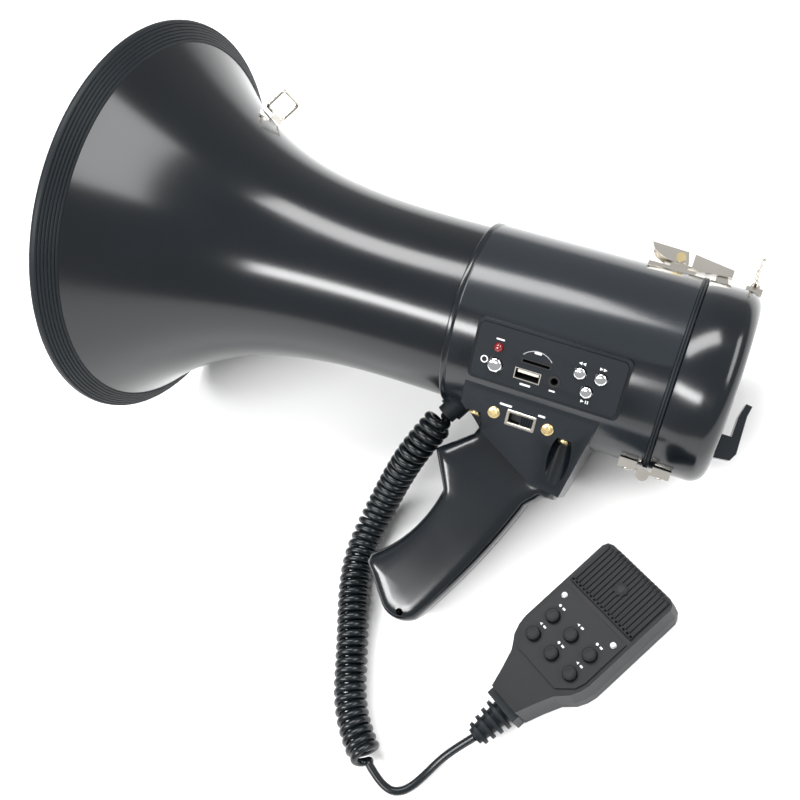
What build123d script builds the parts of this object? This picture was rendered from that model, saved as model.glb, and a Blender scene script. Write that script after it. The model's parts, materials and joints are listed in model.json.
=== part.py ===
from build123d import *
import math
import os

# Handheld megaphone with a coiled-cord hand microphone, in millimetres.
# It is designed in the megaphone's own frame: x runs forward from the rear cap's end to the bell
# mouth, y to the left, z up, away from the grip. The last section lays it on its right side.

# ---- Driving dimensions: bell, body and cap -------------------------------------------------
CAP_LENGTH = 27.0
SEAM_WIDTH = 3.0
BODY_LENGTH = 108.0
HORN_LENGTH = 191.0
RING_DEPTH = 8.0
BODY_RADIUS = 49.7
BODY_WALL = 2.4
CAP_EDGE_RADIUS = 8.0
HORN_LIP_RADIUS = 107.0
HORN_WALL = 2.5
FLARE_POWER = 3.3
RING_RADIUS = 115.0
RING_EDGE_RADIUS = 1.5
RING_LIP = 3.0
SEAM_PROUD = 0.5
FIT = 0.3
HORN_THROAT_RADIUS = BODY_RADIUS - BODY_WALL - FIT

# ---- Re-entrant path and driver ---------------------------------------------------------------
DRIVER_START = 9.0
MAGNET_RADIUS = 35.0
MAGNET_LENGTH = 18.0
HOUSING_RADIUS = 38.0
HOUSING_LENGTH = 9.0
THROAT_BORE = 11.0
THROAT_MOUTH = 25.0
THROAT_LENGTH = 112.0
THROAT_WALL = 2.0
CUP_OPEN_RADIUS = 32.0
CUP_FRONT_RADIUS = 52.0
CUP_LENGTH = 100.0
CUP_WALL = 2.0
CUP_START = 62.0
DOME_HEIGHT = 16.0
FIN_COUNT = 3
FIN_WIDTH = 3.0
FIN_LENGTH = 16.0

# ---- Battery and boards -----------------------------------------------------------------------
CELL_DIAMETER = 26.2
CELL_LENGTH = 50.0
CELLS_PER_LAYER = 4
TRAY_PLATE = 2.0
TRAY_START = 9.0
TRAY_MARGIN = 0.8
BOARD_THICKNESS = 1.6
BOARD_GAP = 4.0

# ---- Control panel ----------------------------------------------------------------------------
PANEL_ANGLE = 24.0
PANEL_X = 84.7
PANEL_LENGTH = 73.0
PANEL_WIDTH = 28.0
PANEL_THICKNESS = 1.8
PANEL_PROUD = 0.7
PANEL_CORNER = 3.0
PAD_BORDER = 1.6
MODE_BUTTON_DIAMETER = 7.3
TRACK_BUTTON_DIAMETER = 6.0
BUTTON_PROUD = 1.8
BUTTON_TRAVEL = 0.8
BUTTON_FLANGE = 0.8
LED_DIAMETER = 4.8
USB_WIDTH = 13.1
USB_HEIGHT = 5.7
USB_WALL = 0.5
USB_DEPTH = 12.0
CARD_WIDTH = 15.0
CARD_HEIGHT = 2.6
CARD_DEPTH = 8.0
JACK_DIAMETER = 6.0
JACK_BORE = 3.6
JACK_DEPTH = 10.0
LED_PLACE = (-25.3, 3.2)
MODE_PLACE = (-25.2, -6.0)
USB_PLACE = (-8.5, -6.4)
CARD_PLACE = (-5.7, 0.6)
JACK_PLACE = (4.8, -5.2)
BACK_PLACE = (15.4, 2.6)
FORWARD_PLACE = (25.6, 2.6)
PLAY_PLACE = (20.6, -5.6)

# ---- Saddle, switch and grip ------------------------------------------------------------------
SADDLE_BODY_RADIUS = 49.7
SADDLE_LOWERED = SADDLE_BODY_RADIUS - BODY_RADIUS
SADDLE_PROFILE = [(54.2, -36.0), (123.8, -36.0), (123.2, -47.8), (110.5, -58.6), (79.7, -75.9), (63.4, -78.3)]
SADDLE_TOP_HALF = 33.5
SADDLE_TOP_Z = -39.0
SADDLE_SLOPE = 23.0
SADDLE_WALL = 2.6
POCKET_X = (68.4, 115.4)
POCKET_Y = 24.5
POCKET_Z = -50.0
POCKET_DIAMETER = 11.0
SCREW_HEAD = 6.4
SCREW_SHANK = 3.0
SWITCH_X = 91.5
SWITCH_DROP = 9.5
SWITCH_SCREW_SPACING = 28.0
SWITCH_LENGTH = 14.0
SWITCH_HEIGHT = 7.0
SWITCH_TRAVEL = 5.0
SWITCH_KNOB_LENGTH = 6.5
SWITCH_KNOB_HEIGHT = 4.4
GRIP_HALF = 14.0
GRIP_WALL = 2.5
GRIP_EDGE = 3.0
LANYARD_HOLE = 4.0

# ---- Metal fittings ---------------------------------------------------------------------------
HINGE_PIN_RADIUS = 1.3
HINGE_KNUCKLE_RADIUS = 3.2
HINGE_DROP = 4.3
HINGE_HALF = 12.5
HINGE_LEAF = 9.0
HINGE_CLEARANCE = 0.05
LATCH_X = 43.7
LATCH_HEIGHT = 6.6
LATCH_HALF = 8.0
STRAP_WIRE = 2.0
STRAP_HALF = 11.0
STRAP_HEIGHT = 13.5
FRONT_STRAP_X = 292.5
REAR_STRAP_X = 5.6
HOOK_HALF = 7.0

# ---- Microphone -------------------------------------------------------------------------------
MIC_LENGTH = 92.0
MIC_HALF = 23.0
MIC_NECK_HALF = 8.6
MIC_THICKNESS = 25.0
MIC_PARTING = 12.0
MIC_FLARE = 1.2
MIC_WALL = 2.0
GRILLE_START = 64.0
GRILLE_SLOTS = 15
MIC_BUTTON_DIAMETER = 7.0
MIC_BUTTON_PITCH = 13.0
MIC_BUTTON_ROWS = (32.0, 45.0)
MIC_BUTTON_PROUD = 3.4
MIC_BUTTON_TRAVEL = 1.0
MIC_PLACE = (62.1, 177.7)
MIC_HEADING = -118.0

# ---- Cord -------------------------------------------------------------------------------------
COIL_DIAMETER = 18.0
CORD_DIAMETER = 4.2
RELIEF_LENGTH = 23.0
GLAND_LENGTH = 9.0
GLAND_X = 131.0
GLAND_LEAN = 30.0
COIL_POINTS = [(149.0, 70.0, 45.0), (160.0, 83.0, 30.0), (168.5, 98.0, 16.5), (173.0, 115.0, 9.8),
               (172.5, 133.5, 9.1), (166.5, 152.0, 9.1), (158.5, 169.5, 9.1), (151.0, 187.0, 9.1),
               (144.0, 204.0, 9.1), (133.0, 219.0, 9.1), (119.5, 230.0, 9.1)]
LEAD_POINTS = [(110.5, 236.5, 7.0), (102.0, 237.5, 4.0), (96.0, 230.5, 2.4), (91.0, 221.0, 3.0), (85.0, 210.5, 6.0)]

# ---- Derived stations -------------------------------------------------------------------------
X_SEAM = CAP_LENGTH
X_BODY = CAP_LENGTH + SEAM_WIDTH
X_FRONT = X_BODY + BODY_LENGTH
X_LIP = X_FRONT + HORN_LENGTH
X_MOUTH = X_LIP + RING_DEPTH
BODY_BORE = BODY_RADIUS - BODY_WALL
BULKHEAD_X = X_FRONT - 8.0


def turned(points):
    """A solid of revolution about the x axis from (x, r) points."""
    return revolve(make_face(Polyline(*points, close=True)), axis=Axis.X)


def rod(x0, x1, radius, y=0.0, z=0.0):
    """A round bar along x."""
    return Pos((x0 + x1) / 2, y, z) * Rot(0, 90, 0) * Cylinder(radius, x1 - x0)


def cross_rod(y0, y1, radius, x, z):
    """A round bar along y."""
    return Pos(x, (y0 + y1) / 2, z) * Rot(90, 0, 0) * Cylinder(radius, y1 - y0)


def block(x0, x1, y0, y1, z0, z1):
    """A box from its six limits."""
    return Pos((x0 + x1) / 2, (y0 + y1) / 2, (z0 + z1) / 2) * Box(x1 - x0, y1 - y0, z1 - z0)


def side_plate(points, y0, y1):
    """An outline of (x, z) points, extruded along y from y0 to y1."""
    face = make_face(Polyline(*[(x, 0, z) for x, z in points], close=True))
    return Pos(0, y0, 0) * extrude(face, amount=y1 - y0, dir=(0, 1, 0))


# ---- Bell, body and cap -----------------------------------------------------------------------
def flare_radius(x):
    share = (x - X_FRONT) / HORN_LENGTH
    return HORN_THROAT_RADIUS + (HORN_LIP_RADIUS - HORN_THROAT_RADIUS) * max(share, 0.0) ** FLARE_POWER


def flare_slope(x):
    share = max((x - X_FRONT) / HORN_LENGTH, 0.0)
    rise = HORN_LIP_RADIUS - HORN_THROAT_RADIUS
    return rise * FLARE_POWER / HORN_LENGTH * share ** (FLARE_POWER - 1)


def flare_points(inset, steps=8):
    """Points on the horn's flare, moved inwards square to the wall."""
    points = []
    for i in range(steps + 1):
        x = X_FRONT + HORN_LENGTH * i / steps
        slope = flare_slope(x)
        scale = math.hypot(1, slope)
        points.append((x + inset * slope / scale, flare_radius(x) - inset / scale))
    return points


def flared_solid(inset, x_back, x_front):
    """The solid inside the flare, from x_back to x_front."""
    curve = flare_points(inset)
    first = curve[0]
    last = curve[-1]
    edges = Spline(*curve)
    edges += Line(last, (x_front, last[1]))
    edges += Line((x_front, last[1]), (x_front, 0))
    edges += Line((x_front, 0), (x_back, 0))
    edges += Line((x_back, 0), (x_back, first[1]))
    edges += Line((x_back, first[1]), first)
    return revolve(make_face(edges), axis=Axis.X)


def make_horn():
    outer = flared_solid(0, BULKHEAD_X, X_LIP + 2.0)
    inner = flared_solid(HORN_WALL, BULKHEAD_X - 1.0, X_LIP + 4.0)
    return outer - inner


def make_bell_ring(horn):
    inner = HORN_LIP_RADIUS - HORN_WALL
    back = X_LIP - RING_LIP
    profile = [(X_MOUTH, inner), (X_MOUTH, RING_RADIUS - RING_EDGE_RADIUS),
               (X_MOUTH - RING_EDGE_RADIUS, RING_RADIUS), (X_MOUTH - 2.5 * RING_EDGE_RADIUS, RING_RADIUS),
               (back, flare_radius(back) + 0.8), (back, flare_radius(back) - 0.4), (X_LIP + 2.0, inner)]
    ring = turned(profile) - horn
    return ring - flared_solid(HORN_WALL, BULKHEAD_X, X_LIP + 1.0)


def make_driver_magnet():
    start = BULKHEAD_X + DRIVER_START
    return rod(start, start + MAGNET_LENGTH, MAGNET_RADIUS)


def make_driver_housing():
    start = BULKHEAD_X + DRIVER_START + MAGNET_LENGTH
    housing = rod(start, start + HOUSING_LENGTH, HOUSING_RADIUS)
    return housing - rod(start + 3.0, start + HOUSING_LENGTH + 1.0, THROAT_BORE)


def make_driver_diaphragm():
    start = BULKHEAD_X + DRIVER_START + MAGNET_LENGTH + 3.0
    return turned([(start, 0), (start, THROAT_BORE - 0.5), (start + 0.6, THROAT_BORE - 0.5), (start + 3.0, 0)])


def throat_start():
    return BULKHEAD_X + DRIVER_START + MAGNET_LENGTH + HOUSING_LENGTH


def make_throat(horn):
    start = throat_start()
    end = start + THROAT_LENGTH
    flange = rod(start, start + 3.0, HORN_THROAT_RADIUS - HORN_WALL)
    tube = turned([(start, 0), (start, THROAT_BORE + THROAT_WALL), (end, THROAT_MOUTH + THROAT_WALL), (end, 0)])
    bore = turned([(start - 1, 0), (start - 1, THROAT_BORE), (start, THROAT_BORE), (end, THROAT_MOUTH),
                   (end + 1, THROAT_MOUTH), (end + 1, 0)])
    return flange + tube - bore - horn


def make_reflex_cup():
    start = throat_start() + CUP_START - 25.0
    end = start + CUP_LENGTH
    outer = turned([(start, 0), (start, CUP_OPEN_RADIUS), (end, CUP_FRONT_RADIUS), (end + DOME_HEIGHT * 0.6, CUP_FRONT_RADIUS * 0.8),
                    (end + DOME_HEIGHT, CUP_FRONT_RADIUS * 0.4), (end + DOME_HEIGHT, 0)])
    inner = turned([(start - 1, 0), (start - 1, CUP_OPEN_RADIUS - CUP_WALL), (start, CUP_OPEN_RADIUS - CUP_WALL),
                    (end, CUP_FRONT_RADIUS - CUP_WALL), (end + DOME_HEIGHT * 0.5, CUP_FRONT_RADIUS * 0.78 - CUP_WALL),
                    (end + DOME_HEIGHT - CUP_WALL, CUP_FRONT_RADIUS * 0.4 - CUP_WALL), (end + DOME_HEIGHT - CUP_WALL, 0)])
    fins = None
    for i in range(FIN_COUNT):
        fin = block(end - FIN_LENGTH, end, -FIN_WIDTH / 2, FIN_WIDTH / 2, CUP_FRONT_RADIUS - 4.0, RING_RADIUS)
        fin = Rot(360.0 * i / FIN_COUNT, 0, 0) * fin
        fins = fin if fins is None else fins + fin
    fins = fins & flared_solid(HORN_WALL, BULKHEAD_X, X_LIP)
    return outer + fins - inner


def make_cap():
    rear = CAP_EDGE_RADIUS
    outline = Line((0, 0), (0, BODY_RADIUS - rear))
    outline += RadiusArc((0, BODY_RADIUS - rear), (rear, BODY_RADIUS), rear)
    outline += Line((rear, BODY_RADIUS), (CAP_LENGTH, BODY_RADIUS))
    outline += Line((CAP_LENGTH, BODY_RADIUS), (CAP_LENGTH, 0))
    outline += Line((CAP_LENGTH, 0), (0, 0))
    cap = revolve(make_face(outline), axis=Axis.X)
    inner = BODY_BORE - rear
    hollow = turned([(BODY_WALL, 0), (BODY_WALL, inner), (BODY_WALL + rear * 0.3, inner + rear * 0.7),
                     (BODY_WALL + rear, BODY_BORE), (CAP_LENGTH + 1, BODY_BORE), (CAP_LENGTH + 1, 0)])
    return cap - hollow


def make_seam_band():
    return rod(X_SEAM, X_BODY, BODY_RADIUS + SEAM_PROUD) - rod(X_SEAM - 1, X_BODY + 1, BODY_BORE)


def panel_spot(x, y, z=0.0):
    """A place on the control panel: x rearwards, y up, z outwards from the plate's outer face."""
    angle = math.radians(PANEL_ANGLE)
    normal = (0, math.cos(angle), -math.sin(angle))
    reach = BODY_RADIUS + PANEL_PROUD
    plane = Plane(origin=(PANEL_X, reach * normal[1], reach * normal[2]), x_dir=(-1, 0, 0), z_dir=normal)
    return plane.location * Pos(x, y, z)


def panel_block(length, width, z0, z1, corner=0.0):
    face = RectangleRounded(length, width, corner) if corner > 0 else Rectangle(length, width)
    return panel_spot(0, 0, z0) * extrude(face, amount=z1 - z0)


def pocket_rods(radius, z0, z1):
    """Four upright round bars, one at each saddle screw."""
    bars = []
    for x in POCKET_X:
        for side in (-1, 1):
            bars.append(Pos(x, side * POCKET_Y, (z0 + z1) / 2 + SADDLE_LOWERED) * Cylinder(radius, z1 - z0))
    return bars


def make_body():
    shell = rod(X_BODY, X_FRONT, BODY_RADIUS)
    shell += panel_block(PANEL_LENGTH + 2 * PAD_BORDER, PANEL_WIDTH + 2 * PAD_BORDER, -8.0, -0.6, PANEL_CORNER)
    shell -= rod(X_BODY - 1, X_FRONT + 1, BODY_BORE)
    shell -= panel_block(PANEL_LENGTH + FIT, PANEL_WIDTH + FIT, -PANEL_THICKNESS, 4.0, PANEL_CORNER)
    shell -= panel_block(PANEL_LENGTH - 4.0, PANEL_WIDTH - 4.0, -14.0, 4.0)
    for bar in pocket_rods(SCREW_SHANK / 2, -60.0, -30.0):
        shell -= bar
    shell -= gland_bar(3.5, -6.0, 6.0)
    return shell


def gland_bar(radius, start, end):
    """A round bar along the cord's way out under the body's front."""
    lean = math.radians(GLAND_LEAN)
    axis = (math.sin(lean), 0, -math.cos(lean))
    plane = Plane(origin=(GLAND_X, 0, -BODY_RADIUS + 1.0), x_dir=(0, 1, 0), z_dir=axis)
    return plane.location * Pos(0, 0, (start + end) / 2) * Cylinder(radius, end - start)


def gland_tip():
    lean = math.radians(GLAND_LEAN)
    reach = GLAND_LENGTH
    return (GLAND_X + reach * math.sin(lean), 0.0, -BODY_RADIUS + 1.0 - reach * math.cos(lean))


def make_gland():
    collar = gland_bar(7.0, -3.0, GLAND_LENGTH * 0.6) - rod(X_BODY, X_FRONT, BODY_RADIUS)
    gland = collar + gland_bar(3.3, -3.0, 3.0) + gland_bar(5.5, GLAND_LENGTH * 0.5, GLAND_LENGTH)
    return gland - make_horn_plug() - saddle_block(0)


def make_horn_plug():
    return flared_solid(-0.2, BULKHEAD_X, X_LIP)


# ---- Battery, boards ----------------------------------------------------------------------------
def cell_places():
    """Centres of one layer of cells, with a gap facing the control panel."""
    reach = (CELL_DIAMETER + TRAY_MARGIN) / 2 / math.sin(math.pi / CELLS_PER_LAYER)
    start = -PANEL_ANGLE + 180.0 / CELLS_PER_LAYER
    places = []
    for i in range(CELLS_PER_LAYER):
        angle = math.radians(start + 360.0 * i / CELLS_PER_LAYER)
        places.append((reach * math.cos(angle), reach * math.sin(angle)))
    return places


def tray_radius():
    y, z = cell_places()[0]
    return math.hypot(y, z) + CELL_DIAMETER / 2 + 1.0


def layer_starts():
    first = TRAY_START + TRAY_PLATE
    return (first, first + CELL_LENGTH + TRAY_PLATE)


def make_tray():
    end = layer_starts()[1] + CELL_LENGTH
    tray = rod(TRAY_START, end + TRAY_PLATE + BOARD_GAP, 4.0)
    for x in (TRAY_START, layer_starts()[1] - TRAY_PLATE, end):
        tray += rod(x, x + TRAY_PLATE, tray_radius())
    return tray


def make_cells():
    cells = []
    for x in layer_starts():
        for y, z in cell_places():
            cells.append(rod(x, x + CELL_LENGTH, CELL_DIAMETER / 2, y, z))
    return Compound(cells)


def make_contact_plate():
    start = BODY_WALL
    plate = rod(start, start + 1.0, tray_radius() - 2.0)
    plate -= rod(start - 1, start + 2.0, 6.0)
    for y, z in cell_places():
        plate += rod(start + 1.0, TRAY_START - 0.4, 4.0, y, z)
    return plate


def make_amplifier_board():
    end = layer_starts()[1] + CELL_LENGTH + TRAY_PLATE
    return rod(end + BOARD_GAP, end + BOARD_GAP + BOARD_THICKNESS, BODY_BORE)


def make_player_board():
    board = panel_block(PANEL_LENGTH - 8.0, PANEL_WIDTH - 8.0, -USB_DEPTH - BOARD_THICKNESS, -USB_DEPTH)
    tongue = panel_spot(*USB_PLACE) * Pos(0, 0.9, (-1.2 - USB_DEPTH + 1.0) / 2) * Box(USB_WIDTH - 2.6, 1.4, USB_DEPTH - 2.2)
    return Compound([board, tongue])


# ---- Control panel ------------------------------------------------------------------------------
TRACK_PLACES = (("back_button", BACK_PLACE), ("forward_button", FORWARD_PLACE), ("play_button", PLAY_PLACE))


def make_panel():
    panel = panel_block(PANEL_LENGTH, PANEL_WIDTH, -PANEL_THICKNESS, 0.0, PANEL_CORNER)
    panel -= panel_spot(*MODE_PLACE) * Cylinder(MODE_BUTTON_DIAMETER / 2 + FIT, 20)
    for _, place in TRACK_PLACES:
        panel -= panel_spot(*place) * Cylinder(TRACK_BUTTON_DIAMETER / 2 + FIT, 20)
    panel -= panel_spot(*LED_PLACE) * Cylinder(LED_DIAMETER / 2, 20)
    panel -= panel_spot(*USB_PLACE) * Box(USB_WIDTH, USB_HEIGHT, 20)
    panel -= panel_spot(*CARD_PLACE) * Box(CARD_WIDTH, CARD_HEIGHT, 20)
    panel -= panel_spot(*JACK_PLACE) * Cylinder(JACK_DIAMETER / 2, 20)
    return panel


def push_button(place, diameter):
    """A domed push button with a flange behind the panel."""
    radius = diameter / 2
    depth = PANEL_THICKNESS + FIT
    stem = Pos(0, 0, (BUTTON_PROUD - 0.8 - depth) / 2) * Cylinder(radius, BUTTON_PROUD - 0.8 + depth)
    dome = Pos(0, 0, BUTTON_PROUD - 0.4) * Cone(radius, radius * 0.6, 0.8)
    flange = Pos(0, 0, -depth - BUTTON_FLANGE / 2) * Cylinder(radius + 0.7, BUTTON_FLANGE)
    return panel_spot(*place) * (stem + dome + flange)


def make_led():
    dome = Sphere(LED_DIAMETER / 2) & (Pos(0, 0, 2.0) * Box(10, 10, 4.0))
    body = Pos(0, 0, -2.5) * Cylinder(LED_DIAMETER / 2, 5.0)
    return panel_spot(*LED_PLACE) * (dome + body)


def make_usb_socket():
    height = USB_DEPTH + 0.3
    shell = Pos(0, 0, 0.3 - height / 2) * Box(USB_WIDTH, USB_HEIGHT, height)
    hollow = Pos(0, 0, 0.8 - height / 2) * Box(USB_WIDTH - 2 * USB_WALL, USB_HEIGHT - 2 * USB_WALL, height - 1.0)
    base = Pos(0, 0, -USB_DEPTH + 0.5) * Box(USB_WIDTH, USB_HEIGHT, 1.0)
    return panel_spot(*USB_PLACE) * (shell - hollow + base)


def make_card_slot():
    shell = Pos(0, 0, 0.2 - CARD_DEPTH / 2) * Box(CARD_WIDTH, CARD_HEIGHT, CARD_DEPTH)
    hollow = Pos(0, 0, 1.2 - CARD_DEPTH / 2) * Box(CARD_WIDTH - 1.6, CARD_HEIGHT - 1.2, CARD_DEPTH)
    return panel_spot(*CARD_PLACE) * (shell - hollow)


def make_aux_jack():
    body = Pos(0, 0, 0.3 - JACK_DEPTH / 2) * Cylinder(JACK_DIAMETER / 2, JACK_DEPTH)
    bore = Pos(0, 0, 1.8 - JACK_DEPTH / 2) * Cylinder(JACK_BORE / 2, JACK_DEPTH)
    return panel_spot(*JACK_PLACE) * (body - bore)


# ---- Saddle and slide switch ----------------------------------------------------------------------
def saddle_block(inset):
    """The saddle's outer block, or its hollow when inset."""
    slope = math.tan(math.radians(SADDLE_SLOPE))
    top = SADDLE_TOP_HALF - inset
    low_z = -95.0
    low = top - (SADDLE_TOP_Z - low_z) * slope
    section = [(-top, -20.0), (top, -20.0), (top, SADDLE_TOP_Z), (low, low_z), (-low, low_z), (-top, SADDLE_TOP_Z)]
    prism = extrude(make_face(Polyline(*[(0, y, z) for y, z in section], close=True)), amount=200.0, dir=(1, 0, 0))
    face = make_face(Polyline(*SADDLE_PROFILE, close=True))
    if inset > 0:
        face = offset(face, -inset, kind=Kind.INTERSECTION)
    side = Rot(90, 0, 0) * extrude(face, amount=60.0, both=True)
    return Pos(0, 0, SADDLE_LOWERED) * (prism & side)


def switch_spot(x, drop, z=0.0):
    """A place on the saddle's left face: x rearwards, drop down the slope, z outwards."""
    angle = math.radians(SADDLE_SLOPE)
    normal = (0, math.cos(angle), -math.sin(angle))
    top_z = SADDLE_TOP_Z + SADDLE_LOWERED
    origin = (SWITCH_X, SADDLE_TOP_HALF - drop * math.sin(angle), top_z - drop * math.cos(angle))
    return Plane(origin=origin, x_dir=(-1, 0, 0), z_dir=normal).location * Pos(x, 0, z)


def make_saddle():
    saddle = saddle_block(0) - saddle_block(SADDLE_WALL)
    bosses = None
    for bar in pocket_rods(POCKET_DIAMETER / 2 + 2.0, -90.0, -30.0):
        bosses = bar if bosses is None else bosses + bar
    saddle += bosses & saddle_block(0)
    saddle -= rod(0, X_MOUTH, BODY_RADIUS)
    for bar in pocket_rods(POCKET_DIAMETER / 2, -90.0, POCKET_Z):
        saddle -= bar
    for bar in pocket_rods(SCREW_SHANK / 2, -90.0, -30.0):
        saddle -= bar
    saddle -= switch_spot(0, SWITCH_DROP) * Box(SWITCH_LENGTH, SWITCH_HEIGHT, 8.0)
    for side in (-1, 1):
        saddle -= switch_spot(side * SWITCH_SCREW_SPACING / 2, SWITCH_DROP) * Cylinder(SCREW_SHANK / 2, 12.0)
    return saddle


def make_saddle_screws():
    screws = []
    seat = POCKET_Z + SADDLE_LOWERED
    for x in POCKET_X:
        for side in (-1, 1):
            head = Pos(x, side * POCKET_Y, seat - 1.0) * Cylinder(SCREW_HEAD / 2, 2.0)
            shank = Pos(x, side * POCKET_Y, seat + 6.0) * Cylinder(SCREW_SHANK / 2, 12.0)
            screws.append(head + shank)
    return screws


def make_switch_screws():
    screws = []
    for side in (-1, 1):
        head = Pos(0, 0, 0.6) * Cone(SCREW_HEAD / 2, SCREW_HEAD / 2 * 0.6, 1.2)
        shank = Pos(0, 0, -3.0) * Cylinder(SCREW_SHANK / 2, 6.0)
        screws.append(switch_spot(side * SWITCH_SCREW_SPACING / 2, SWITCH_DROP) * (head + shank))
    return screws


def make_switch_frame():
    wide = SWITCH_SCREW_SPACING + 4.0
    plate = Pos(0, 0, -SADDLE_WALL - 0.5) * Box(wide, SWITCH_HEIGHT, 1.0)
    collar = Pos(0, 0, -SADDLE_WALL / 2) * Box(SWITCH_LENGTH, SWITCH_HEIGHT, SADDLE_WALL)
    case = Pos(0, 0, -SADDLE_WALL - 1.5) * Box(SWITCH_LENGTH + 4.0, SWITCH_HEIGHT, 1.0)
    slot = Pos(0, 0, -SADDLE_WALL - 0.9 + 5.0) * Box(SWITCH_LENGTH - 1.6, SWITCH_KNOB_HEIGHT + 0.6, 10.0)
    frame = switch_spot(0, SWITCH_DROP) * (plate + collar + case - slot)
    for side in (-1, 1):
        frame -= switch_spot(side * SWITCH_SCREW_SPACING / 2, SWITCH_DROP) * Cylinder(SCREW_SHANK / 2, 14.0)
    return frame


def make_switch_knob():
    at = (SWITCH_LENGTH - 1.6) / 2 - SWITCH_KNOB_LENGTH / 2 - 0.2
    knob = Pos(at, 0, -1.2) * Box(SWITCH_KNOB_LENGTH, SWITCH_KNOB_HEIGHT, 3.8)
    return switch_spot(0, SWITCH_DROP) * knob


# ---- Grip -----------------------------------------------------------------------------------------
def grip_outline():
    """The grip's side outline, from its front top, down the finger side and up the rear."""
    outline = Line((112.0, -50.0), (116.0, -61.0))
    outline += Line((116.0, -61.0), (133.0, -75.0))
    outline += Line((133.0, -75.0), (122.0, -94.0))
    outline += ThreePointArc((122.0, -94.0), (131.5, -120.5), (148.0, -139.5))
    outline += Line((148.0, -139.5), (149.0, -143.5))
    outline += Line((149.0, -143.5), (133.5, -163.0))
    outline += RadiusArc((133.5, -163.0), (113.5, -163.5), 14.5)
    outline += ThreePointArc((113.5, -163.5), (94.0, -126.7), (78.5, -88.0))
    outline += Line((78.5, -88.0), (72.0, -81.5))
    outline += Line((72.0, -81.5), (66.0, -80.6))
    outline += Line((66.0, -80.6), (66.0, -60.0))
    outline += Line((66.0, -60.0), (112.0, -50.0))
    return make_face(outline)


GRIP_SCREWS = ((102.0, -100.0), (120.0, -138.0))
LANYARD_PLACE = (122.5, -162.0)
GRIP_SEAM = 0.02


def grip_slab(face, y0, y1):
    """A face in the x, z plane, extruded along y from y0 to y1."""
    upright = Rot(90, 0, 0) * Pos(0, 0, -y1) * face
    return extrude(upright, amount=y1 - y0, dir=(0, -1, 0))


def make_grip_half(side):
    outer = grip_slab(grip_outline(), GRIP_SEAM, GRIP_HALF)
    outer = fillet(outer.faces().sort_by(Axis.Y)[-1].edges(), GRIP_EDGE)
    core = offset(grip_outline(), -GRIP_WALL - GRIP_EDGE * 0.5, kind=Kind.ARC)
    half = outer - grip_slab(core, GRIP_SEAM - 1, GRIP_HALF - GRIP_WALL)
    for x, z in GRIP_SCREWS:
        half += cross_rod(GRIP_SEAM, GRIP_HALF - 1.0, 4.0, x, z)
        half -= cross_rod(-1, GRIP_HALF - 3.0, SCREW_SHANK / 2, x, z)
        if side < 0:
            half -= cross_rod(-1, 60, SCREW_SHANK / 2, x, z)
            half -= cross_rod(GRIP_HALF - 3.0, 60, SCREW_HEAD / 2 + FIT, x, z)
    half += cross_rod(GRIP_SEAM, GRIP_HALF - 1.2, LANYARD_HOLE / 2 + 2.2, *LANYARD_PLACE)
    half -= cross_rod(-1, 60, LANYARD_HOLE / 2, *LANYARD_PLACE)
    half = Pos(0, 0, SADDLE_LOWERED) * half - saddle_block(0)
    return half if side > 0 else mirror(half, about=Plane.XZ)


def make_grip_screws():
    screws = []
    for x, z in GRIP_SCREWS:
        shank = cross_rod(-GRIP_HALF + 2.0, GRIP_HALF - 4.0, SCREW_SHANK / 2, x, z)
        head = cross_rod(-GRIP_HALF + 1.0, -GRIP_HALF + 3.0, SCREW_HEAD / 2, x, z)
        screws.append(Pos(0, 0, SADDLE_LOWERED) * (shank + head))
    return Compound(screws)


# ---- Hinge, latch, strap loops, microphone hook -------------------------------------------------------
HINGE_X = X_SEAM + SEAM_WIDTH / 2
HINGE_Z = -BODY_RADIUS - HINGE_DROP


def hinge_leaf(x0, x1, spans, x_knuckle):
    leaf = block(x0, x1, -HINGE_HALF, HINGE_HALF, HINGE_Z + 0.8, -BODY_RADIUS + 4.0)
    for y0, y1 in spans:
        leaf += cross_rod(y0, y1, HINGE_KNUCKLE_RADIUS, HINGE_X, HINGE_Z)
        leaf += block(min(HINGE_X, x_knuckle), max(HINGE_X, x_knuckle), y0, y1, HINGE_Z + 0.8, HINGE_Z + 2.4)
    leaf -= rod(0, X_FRONT, BODY_RADIUS + SEAM_PROUD + 0.1)
    leaf -= cross_rod(-30, 30, HINGE_PIN_RADIUS + HINGE_CLEARANCE, HINGE_X, HINGE_Z)
    return leaf


def make_hinge_body_leaf():
    start = HINGE_X + HINGE_KNUCKLE_RADIUS + 0.6
    return hinge_leaf(start, start + HINGE_LEAF, [(-6.0, 6.0)], start + 1.0)


def make_hinge_cap_leaf():
    end = HINGE_X - HINGE_KNUCKLE_RADIUS - 0.6
    return hinge_leaf(end - HINGE_LEAF, end, [(-HINGE_HALF, -6.3), (6.3, HINGE_HALF)], end - 1.0)


def make_hinge_pin():
    return cross_rod(-HINGE_HALF - 0.8, HINGE_HALF + 0.8, HINGE_PIN_RADIUS, HINGE_X, HINGE_Z)


LATCH_Z = BODY_RADIUS + LATCH_HEIGHT
LATCH_EAR = 5.5
CLAW_PIN_X = LATCH_X + 5.8
CLAW_PIN_Z = LATCH_Z + 0.8
CLAW_Z = BODY_RADIUS + 2.9
CLAW_HALF = 4.6
CLAW_PIN_RADIUS = 1.1


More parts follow.
